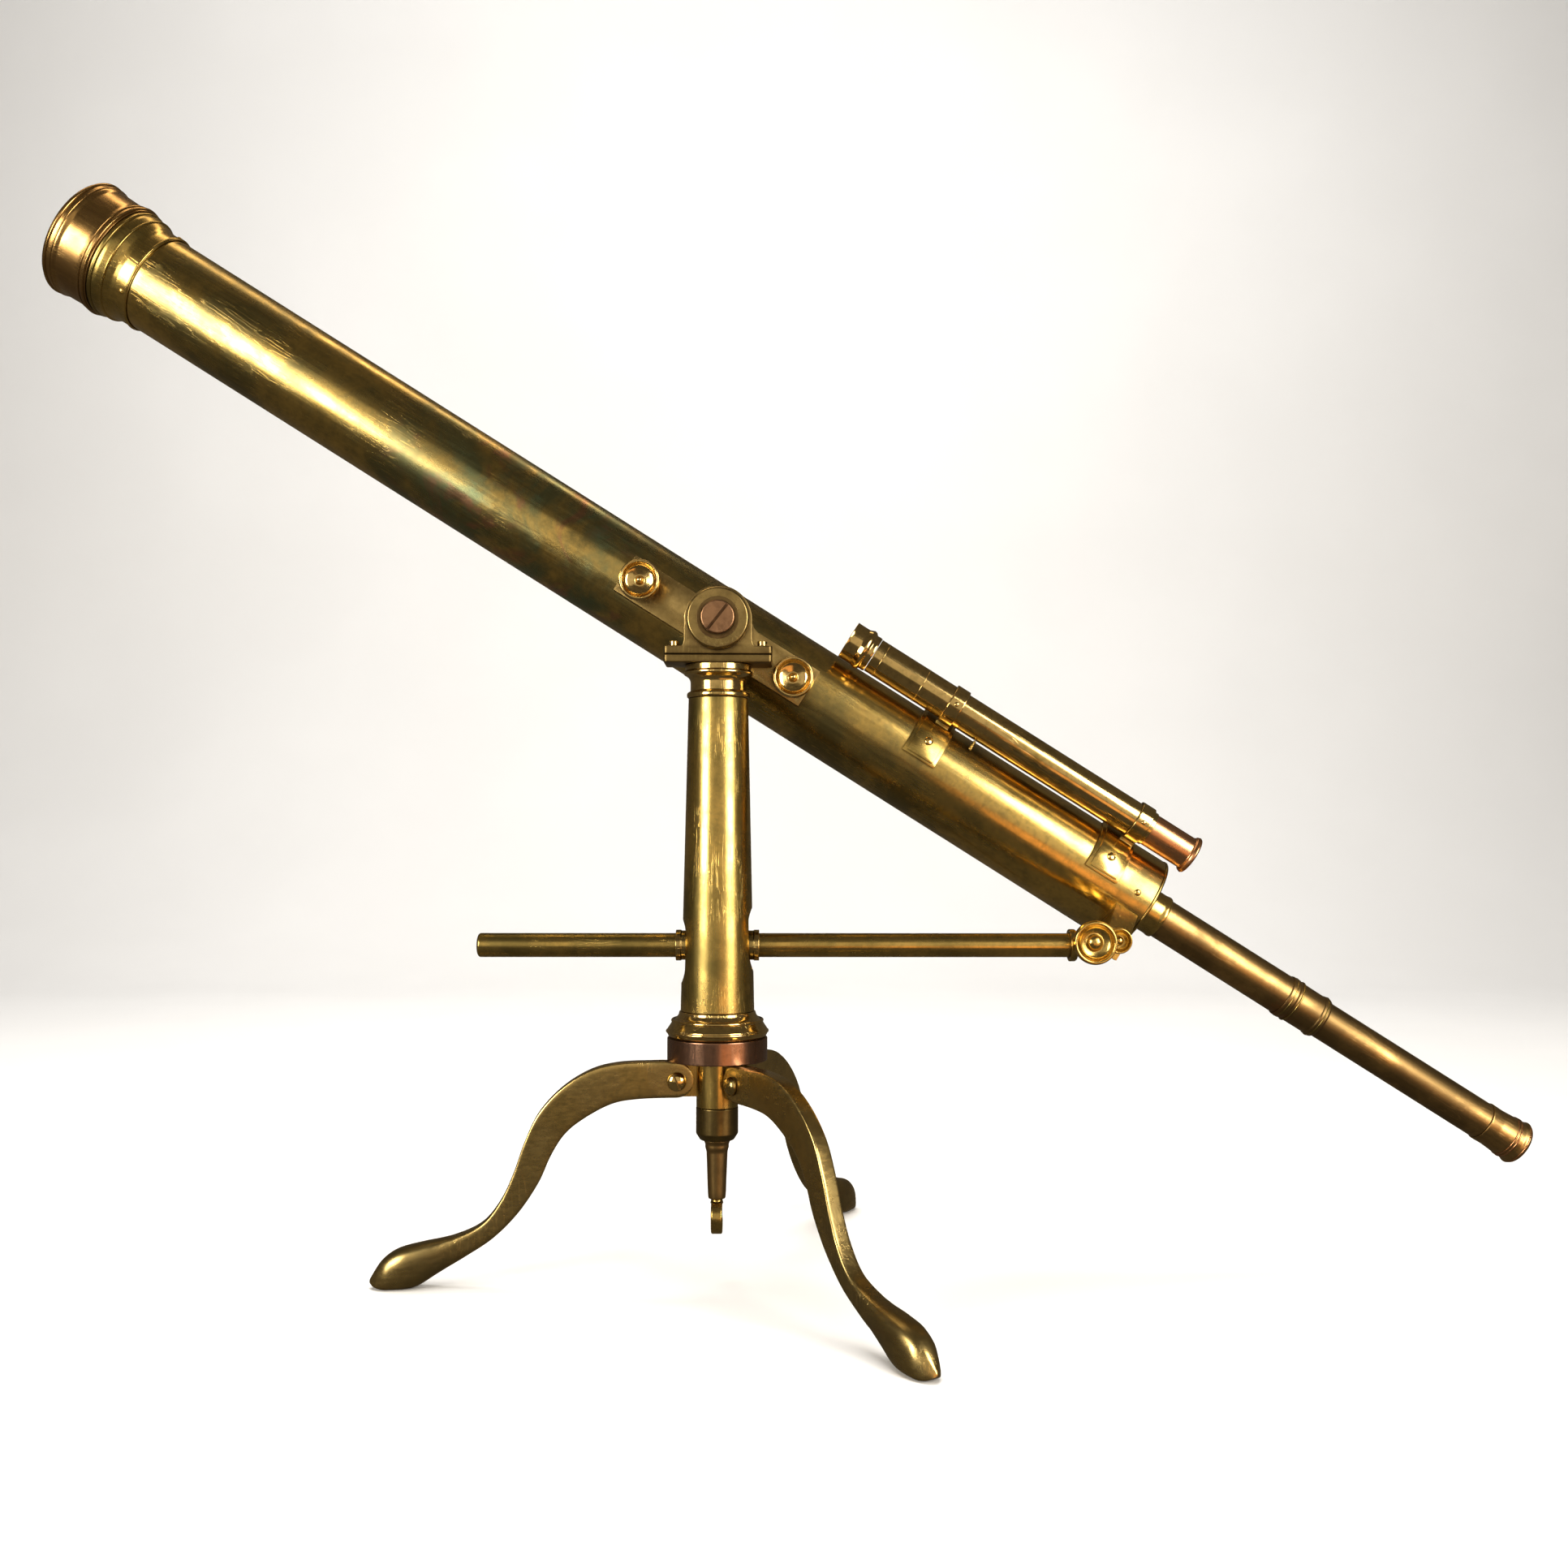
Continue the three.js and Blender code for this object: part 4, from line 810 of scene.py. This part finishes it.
def trunnion_bar():
    at = axes_at(TUBE.translation, (0, -1, 0), OPTICAL)
    left = [(-x, y) for x, y in bar_side(-BOSS_OFFSET)]
    outline = bar_side(BOSS_OFFSET) + left[::-1]
    bar = prism("trunnion_bar_fine", outline, BAR_FRONT - BAR_THICKNESS, BAR_FRONT, at)
    drilled(bar, TUBE_RADIUS + TUBE_GAP, 0.2, TUBE, 96)
    for node in ("thumb_knob_upper", "thumb_knob_lower"):
        drilled(bar, KNOB_HOLE, 0.05, facing_front(node), 48)
    axle_at = axes_at(ALTITUDE, (0, -1, 0), (0, 0, 1))
    front = ALTITUDE.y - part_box("bearing_block")[0].y
    back = ALTITUDE.y - TUBE.translation.y + BAR_FRONT - 2 * MM
    boolean(bar, cylinder("axle", AXLE_RADIUS, back, front, axle_at), "UNION")
    return bevelled(bar, 0.7 * MM, angle=50)


stand_for(trunnion_bar(), "trunnion_bar", "cast_brass")

# ---- Finder saddles -------------------------------------------------------------------------------------

def tube_arc(name, outer, inner, start, end, low, high):
    """A plate curved round the tube, between two angles from the front and two stations."""
    outline = arc((0, 0), outer, start - 90, end - 90, 32) + arc((0, 0), inner, end - 90, start - 90, 32)
    return prism(name, outline, low, high, TUBE)


SADDLE_INNER = TUBE_RADIUS + TUBE_GAP
SADDLE_OUTER = SADDLE_INNER + 2.4 * MM
FINDER_OFFSET = TUBE.inverted() @ FINDER.translation
FINDER_ANGLE = math.atan2(FINDER_OFFSET.x, -FINDER_OFFSET.y)
FINDER_DISTANCE = math.hypot(FINDER_OFFSET.x, FINDER_OFFSET.y)
COLLAR_RADIUS = 16.7 * MM

FOOT_TOP = -FINDER_DISTANCE + COLLAR_RADIUS - 3 * MM
# Across and outward from the tube's axis, before it is turned to the finder's angle.
FOOT_OUTLINE = ((-7 * MM, FOOT_TOP), (7 * MM, FOOT_TOP),
                (7.5 * MM, -SADDLE_INNER - 4 * MM), (9 * MM, -SADDLE_INNER - 1 * MM),
                (-9 * MM, -SADDLE_INNER - 1 * MM), (-7.5 * MM, -SADDLE_INNER - 4 * MM))
FOOT_HALF = 6 * MM
STEP_MARGIN = 3 * MM
SADDLE_SCREW_ANGLE = 22

for end in ("front", "rear"):
    node = f"finder_saddle_{end}"
    low, high = stations_of(node, TUBE)
    collar = (TUBE.inverted() @ middle(f"finder_collar_{end}")).z
    saddle = tube_arc(node + "_fine", SADDLE_OUTER, SADDLE_INNER, 0, 76, low, high)
    step = tube_arc("step", SADDLE_INNER + 3.8 * MM, SADDLE_INNER + 1 * MM, 3, 73,
                    low + STEP_MARGIN, high - STEP_MARGIN)
    boolean(saddle, step, "UNION")
    foot_at = TUBE @ Matrix.Rotation(FINDER_ANGLE, 4, "Z")
    boolean(saddle, prism("foot", FOOT_OUTLINE, collar - FOOT_HALF, collar + FOOT_HALF, foot_at), "UNION")
    space_at = FINDER.copy()
    space_at.translation = middle(f"finder_collar_{end}")
    drilled(saddle, COLLAR_RADIUS + 0.3 * MM, 0.02, space_at)
    stand_for(bevelled(saddle, 0.5 * MM, 2), node, "brass")
    screw_at = tube_angle(SADDLE_SCREW_ANGLE, SADDLE_INNER + 4 * MM, (low + high) / 2)
    node = f"saddle_screw_{end}"
    screw = slotted(node + "_fine", 3.6 * MM, 1.9 * MM, screw_at, domed=True, turn=35)
    stand_for(screw, node, "bright_brass")
    pin_at = axes_at(space_at @ Vector((0, -COLLAR_RADIUS, 0)), FINDER.to_3x3() @ Vector((0, -1, 0)), OPTICAL)
    small_screw(f"collar_screw_{end}", pin_at, 1.9 * MM, 1.1 * MM, "bright_brass", 20)

pin_axis = FINDER.to_3x3() @ Vector((-1, 0, 0))
pin = turned_again("finder_pin", axes_at(middle("finder_pin"), pin_axis), 0.4 * MM, 48)
stand_for(pin, "finder_pin", "brass")

# ---- Legs -----------------------------------------------------------------------------------------------

# Side view in radius and height, in millimetres: the upper edge out to the toe, and the lower edge. Then the
# half width at each radius.
LEG_UPPER = ((32, 173.5), (50, 173.6), (78, 172.5), (100, 167), (122, 153.5), (140, 134), (151, 111),
             (159, 88), (169, 66.5), (183, 49.5), (204, 40), (229, 35), (248, 30), (260, 21.5), (268, 9))
LEG_LOWER = ((32, 145), (61, 144.3), (82, 141), (103, 130.5), (119, 118), (130, 101), (139.5, 80), (155, 57),
             (174, 38), (196, 23.5), (217, 11), (232, 2), (244, 0), (256, 0))
LEG_PLAN = ((18, 6.5), (160, 6.5), (185, 7.2), (208, 8.8), (228, 11.4), (243, 12.4), (256, 11), (264, 7.2),
            (269, 2))
# The last sections, which round off the toe: a point of the upper edge and one of the lower.
LEG_TOE = (((268.8, 7.6), (258.5, 0.2)), ((269.2, 6.2), (261.5, 0.8)), ((269.2, 5), (264.5, 1.8)))
LEG_HOLE = 4.4 * MM                  # clears the eased corner under the screw's head
LEG_SECTIONS = 90
LEG_POINTS = 48
PIVOT_RADIUS, PIVOT_HEIGHT = 32, 158
ROOT_REACH, ROOT_ABOVE, ROOT_BELOW = 13, 15.5, 13
SQUARE_POWER, ROUND_POWER = 11, 2.8  # of the leg's superellipse sections, at its root and at its toe
ROUNDING_START, ROUNDING_LENGTH = 0.45, 0.35
FORK_HALF = 2.9 * MM
SEAT_WIDTH = 6.8 * MM                # from the leg's middle plane to the seat of its screw


def leg_azimuth(side):
    offset = Vector(JOINTS[f"leg_{side}_fold"]["pos_m"]) - PILLAR
    return math.atan2(offset.y, offset.x)


def leg(name, at):
    """A cabriole leg with a forked root: square in section at its root and round at its toe."""
    upper, lower = spline(LEG_UPPER, LEG_SECTIONS), spline(LEG_LOWER, LEG_SECTIONS)
    root = []
    for degrees in range(8, 90, 8):
        t = math.radians(degrees)
        r, share = PIVOT_RADIUS - ROOT_REACH * math.cos(t), math.sin(t)
        root.append(((r, PIVOT_HEIGHT + ROOT_ABOVE * share), (r, PIVOT_HEIGHT - ROOT_BELOW * share)))
    pairs = root + list(zip(upper, lower)) + list(LEG_TOE)
    radii, widths = zip(*LEG_PLAN)
    sections = []
    for i, (high, low) in enumerate(pairs):
        along = max(0, i - len(root)) / LEG_SECTIONS
        rounding = min(1, max(0, along - ROUNDING_START) / ROUNDING_LENGTH)
        power = SQUARE_POWER - (SQUARE_POWER - ROUND_POWER) * rounding
        section = []
        for k in range(LEG_POINTS):
            t = 2 * math.pi * (k + 0.5) / LEG_POINTS
            c, s = math.cos(t), math.sin(t)
            v = (1 - math.copysign(abs(c) ** (2 / power), c)) / 2
            r, z = high[0] + (low[0] - high[0]) * v, high[1] + (low[1] - high[1]) * v
            width = np.interp(r, radii, widths) * math.copysign(abs(s) ** (2 / power), s)
            section.append((r * MM, width * MM, max(z, 0) * MM))
        sections.append(section)
    body = loft(name, sections, at)
    flat_at = at @ Matrix.Translation((0, 0, 0.155))
    fork = [(5 * MM, -FORK_HALF), (46 * MM, -FORK_HALF), (46 * MM, FORK_HALF), (5 * MM, FORK_HALF)]
    boolean(body, prism("fork", fork, -0.035, 0.035, flat_at))
    pivot = at @ Vector((PIVOT_RADIUS * MM, 0, PIVOT_HEIGHT * MM))
    hole_at = axes_at(pivot, at.to_3x3() @ Vector((0, 1, 0)), (0, 0, 1))
    drilled(body, LEG_HOLE, 0.02, hole_at, 32)
    smooth_shaded(body.data, 42)
    return body


def leg_screw(name, at):
    """The slotted head on one side of the leg, and the plain domed nut on the other."""
    head = slotted(name, 7.5 * MM, 5.2 * MM, at, domed=True, shank=1 * MM, turn=25)
    inner_at = at @ Matrix.Translation((0, 0, -2 * SEAT_WIDTH)) @ Matrix.Rotation(math.pi, 4, "X")
    dome = [(0, -14 * MM), (3 * MM, -14 * MM), (3 * MM, 0), (7.2 * MM, 0), (7.2 * MM, 2 * MM),
            (5 * MM, 4.2 * MM), (0, 5 * MM)]
    boolean(head, revolved("dome", dome, False, inner_at, 48, 1 * MM), "UNION")
    smooth_shaded(head.data)
    return head


for side in LEG_SIDES:
    leg_at = Matrix.Translation((PILLAR.x, PILLAR.y, 0)) @ Matrix.Rotation(leg_azimuth(side), 4, "Z")
    stand_for(leg(f"leg_{side}_fine", leg_at), f"leg_{side}", "leg_brass")
    seat = leg_at @ Vector((PIVOT_RADIUS * MM, SEAT_WIDTH, PIVOT_HEIGHT * MM))
    screw_at = axes_at(seat, leg_at.to_3x3() @ Vector((0, 1, 0)), (0, 0, 1))
    stand_for(leg_screw(f"leg_screw_{side}_fine", screw_at), f"leg_screw_{side}", "bright_brass")

# ---- Hub and hook ---------------------------------------------------------------------------------------

HUB_BORE, HUB_RADIUS = 8.3 * MM, 16.5 * MM
TONGUE_START, TONGUE_END, TONGUE_RADIUS, TONGUE_HALF = 11 * MM, 32 * MM, 12.5 * MM, 2.5 * MM


def tripod_hub():
    """A turned hub with three flat tongues that the legs' forks fit round."""
    low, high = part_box("tripod_hub")
    profile = [(HUB_BORE, low.z), (HUB_RADIUS, low.z), (HUB_RADIUS, high.z), (HUB_BORE, high.z)]
    hub = revolved("tripod_hub_fine", profile, True, STAND, 96, 0.5 * MM)
    for side in LEG_SIDES:
        azimuth = leg_azimuth(side)
        radial = Vector((math.cos(azimuth), math.sin(azimuth), 0))
        at = axes_at((PILLAR.x, PILLAR.y, PIVOT_HEIGHT * MM), Vector((0, 0, 1)).cross(radial), (0, 0, 1))
        sign = 1 if (at.to_3x3() @ Vector((1, 0, 0))).dot(radial) > 0 else -1
        tongue = [(TONGUE_START, -TONGUE_RADIUS)] + arc((TONGUE_END, 0), TONGUE_RADIUS, -90, 90)
        tongue.append((TONGUE_START, TONGUE_RADIUS))
        tongue = [(sign * x, y) for x, y in tongue]
        boolean(hub, prism("tongue", tongue, -TONGUE_HALF, TONGUE_HALF, at), "UNION")
    smooth_shaded(hub.data)
    return hub


stand_for(tripod_hub(), "tripod_hub", "brass")

HOOK_RADIUS, STRAP_THICKNESS, STRAP_WIDTH = 11 * MM, 4.6 * MM, 9 * MM
HOOK_DROP = 14 * MM                  # from the top of the hook to the middle of its bend
HOOK_START, HOOK_SWEEP, HOOK_STEPS = 90, 290, 60
TAPER_STEPS, TAPER_SHARE = 10, 0.25  # the hook narrows over its last steps


def weight_hook():
    """A flat strap bent into an open ring, with a short neck under the stem."""
    centre = Vector((PILLAR.x, PILLAR.y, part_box("weight_hook")[1].z - HOOK_DROP))
    strap = round_cornered(STRAP_WIDTH / 2, STRAP_THICKNESS / 2, 1.4 * MM)
    sections = []
    for k in range(HOOK_STEPS + 1):
        t = math.radians(HOOK_START + HOOK_SWEEP * k / HOOK_STEPS)
        taper = 1 - TAPER_SHARE * max(0, k - HOOK_STEPS + TAPER_STEPS) / TAPER_STEPS
        out = Vector((0, math.cos(t), math.sin(t)))
        sections.append([centre + out * (HOOK_RADIUS + y) + Vector((x * taper, 0, 0)) for x, y in strap])
    hook = loft("weight_hook_fine", sections)
    profile = [(0, 9 * MM), (5.2 * MM, 10.5 * MM), (4.4 * MM, 14 * MM), (0, 14 * MM)]
    boolean(hook, revolved("neck", profile, False, Matrix.Translation(centre), 48), "UNION")
    smooth_shaded(hook.data)
    return hook


stand_for(weight_hook(), "weight_hook", "brass")

# ---- Steady rod's knuckle and link ----------------------------------------------------------------------

LARGE_KNOB, SMALL_KNOB = middle("rod_knob_large"), middle("rod_knob_small")
EYE_RADIUS, EYE_HALF = 11.2 * MM, 9.2 * MM
LARGE_KNOB_HOLE, SMALL_KNOB_HOLE = 4.4 * MM, 5.4 * MM
LINK_RADIUS = 8.6 * MM
# The cup that the rod's end sits in, as radius and distance beyond the rod's end, in millimetres.
CUP_PROFILE = ((0, 0.3), (9.8, 0.3), (9.8, -3), (12.8, -3), (12.8, 1.4), (11.6, 2.8), (8.6, 3.4), (8.4, 10),
               (0, 10))


def rod_eye():
    """The eye that the large knob's screw goes through, joined to the rod's ferrule."""
    at = axes_at((LARGE_KNOB.x, middle("steady_rod").y, LARGE_KNOB.z), (0, -1, 0), (0, 0, 1))
    profile = [(LARGE_KNOB_HOLE, -EYE_HALF), (EYE_RADIUS, -EYE_HALF), (EYE_RADIUS, EYE_HALF),
               (LARGE_KNOB_HOLE, EYE_HALF)]
    eye = revolved("rod_eye_fine", profile, True, at, 96, 1.2 * MM)
    rod_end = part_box("steady_rod")[1].x
    cup_at = axes_at((rod_end, ROD.translation.y, ROD.translation.z), (1, 0, 0), (0, 0, 1))
    cup = [(r * MM, z * MM) for r, z in CUP_PROFILE]
    boolean(eye, revolved("cup", cup, False, cup_at, 96, 0.5 * MM), "UNION")
    drilled(eye, LARGE_KNOB_HOLE, 0.02, at, 32)
    smooth_shaded(eye.data)
    return eye


stand_for(rod_eye(), "rod_eye", "brass")


def rod_link():
    """A flat link with round ends, from the large knob's screw to the small one's."""
    low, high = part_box("rod_link")
    reach = math.hypot(SMALL_KNOB.x - LARGE_KNOB.x, SMALL_KNOB.z - LARGE_KNOB.z)
    at = axes_at((LARGE_KNOB.x, (low.y + high.y) / 2, LARGE_KNOB.z), (0, -1, 0), (0, 0, 1))
    half = (high.y - low.y) / 2
    outline = arc((0, 0), LINK_RADIUS, 90, 270) + arc((reach, 0), LINK_RADIUS, -90, 90)
    plate = prism("rod_link_fine", outline, -half, half, at)
    drilled(plate, LARGE_KNOB_HOLE, 0.02, at, 32)
    drilled(plate, SMALL_KNOB_HOLE, 0.02, at @ Matrix.Translation((reach, 0, 0)), 32)
    return bevelled(plate, 0.6 * MM)


stand_for(rod_link(), "rod_link", "brass")

# The bracket keeps its CAD mesh, with a material and a bevel.
bracket = frame["nodes"]["rod_bracket"]
bracket.data.materials.clear()
bracket.data.materials.append(LOOKS["brass"])
edge = bracket.modifiers.new("bevel", "BEVEL")
edge.width = 0.6 * MM
edge.segments = 2
edge.limit_method = "ANGLE"

# ---- Floor, light and camera ----------------------------------------------------------------------------

def sweep_stage():
    """A floor that curves up into a backdrop."""
    near, depth, radius, height, half = -3.5, 2.2, 1.2, 4.5, 6.0
    side = [(near, 0), (depth, 0)]
    side += [(depth + radius * math.sin(a), radius - radius * math.cos(a))
             for a in (math.radians(d) for d in range(6, 91, 6))]
    side.append((depth + radius, height))
    bm = bmesh.new()
    rows = [[bm.verts.new((x, y, z)) for x in (-half, half)] for y, z in side]
    for low, high in zip(rows, rows[1:]):
        face = bm.faces.new((low[0], low[1], high[1], high[0]))
        face.smooth = True
    floor = link(mesh_from(bm, "floor"), "floor")
    n = Nodes("floor_paper")
    tone = n.ramp(n.noise(1.3, detail=3), 0.3, 0.8)
    n.join(n.mix(tone, (0.80, 0.79, 0.775, 1), (0.84, 0.83, 0.815, 1)), n.shader.inputs["Base Color"])
    n.shader.inputs["Roughness"].default_value = 0.9
    floor.data.materials.append(n.material)
    return floor


floor = sweep_stage()
floor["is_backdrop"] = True


def lamp(name, place, target, width, height, power, colour=(1, 1, 1)):
    data = bpy.data.lights.new(name, "AREA")
    data.shape = "RECTANGLE"
    data.size, data.size_y = width, height
    data.energy = power
    data.color = colour
    light = bpy.data.objects.new(name, data)
    bpy.context.scene.collection.objects.link(light)
    light.location = place
    light.rotation_euler = (Vector(target) - Vector(place)).to_track_quat("-Z", "Y").to_euler()
    return light


# The two soft boxes make the streaks along the tube. The overhead light and the backdrop's light aren't
# reflected, which keeps the edges of the brass dark.
lamp("left_box", (-1.45, -1.35, 0.75), (-0.2, 0, 0.55), 0.7, 1.0, 34, (1, 0.95, 0.86))
lamp("right_box", (1.25, -1.3, 0.8), (0.25, 0, 0.4), 0.8, 1.2, 34, (1, 0.95, 0.86))
lamp("front_fill", (0, -3.2, 1.0), (0, 0, 0.45), 3.6, 2.2, 12, (1, 0.9, 0.74))
lamp("top_edge", (-0.3, 0.5, 1.9), (0, 0.07, 0.5), 1.6, 0.25, 4, (1, 0.78, 0.5))
lamp("low_glow", (0.6, -0.9, 0.02), (0, 0, 0.45), 1.2, 0.3, 1.2, (1, 0.5, 0.2))
for light in (lamp("overhead", (-0.2, -0.2, 2.6), (0, 0, 0), 2.4, 1.6, 62),
              lamp("backdrop", (0, 1.0, 3.6), (0, 3.2, 0.8), 4, 1, 95)):
    light.visible_glossy = False
floor.visible_glossy = False

world = bpy.data.worlds.new("room")
bpy.context.scene.world = world
world.use_nodes = True
background = world.node_tree.nodes["Background"]
background.inputs["Color"].default_value = (1, 0.86, 0.66, 1)
background.inputs["Strength"].default_value = 0.09

# The camera's place and aim were fitted to the photo's view of the object.
CAMERA_PLACE = Vector((-0.0244, -1.2055, 0.3520))
YAW, PITCH, ROLL = math.radians(0.91), math.radians(1.95), math.radians(0.09)
camera_data = bpy.data.cameras.new("camera")
camera_data.lens = 34.45
camera_data.sensor_width = 36
camera_data.clip_start = 0.01
camera = bpy.data.objects.new("camera", camera_data)
bpy.context.scene.collection.objects.link(camera)
forward = Vector((math.sin(YAW) * math.cos(PITCH), math.cos(YAW) * math.cos(PITCH), math.sin(PITCH)))
aim = forward.to_track_quat("-Z", "Y").to_matrix().to_4x4()
camera.matrix_world = Matrix.Translation(CAMERA_PLACE) @ aim @ Matrix.Rotation(ROLL, 4, "Z")
bpy.context.scene.camera = camera
bpy.context.scene.view_settings.view_transform = "Standard"

# ---- Size -----------------------------------------------------------------------------------------------

low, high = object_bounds()
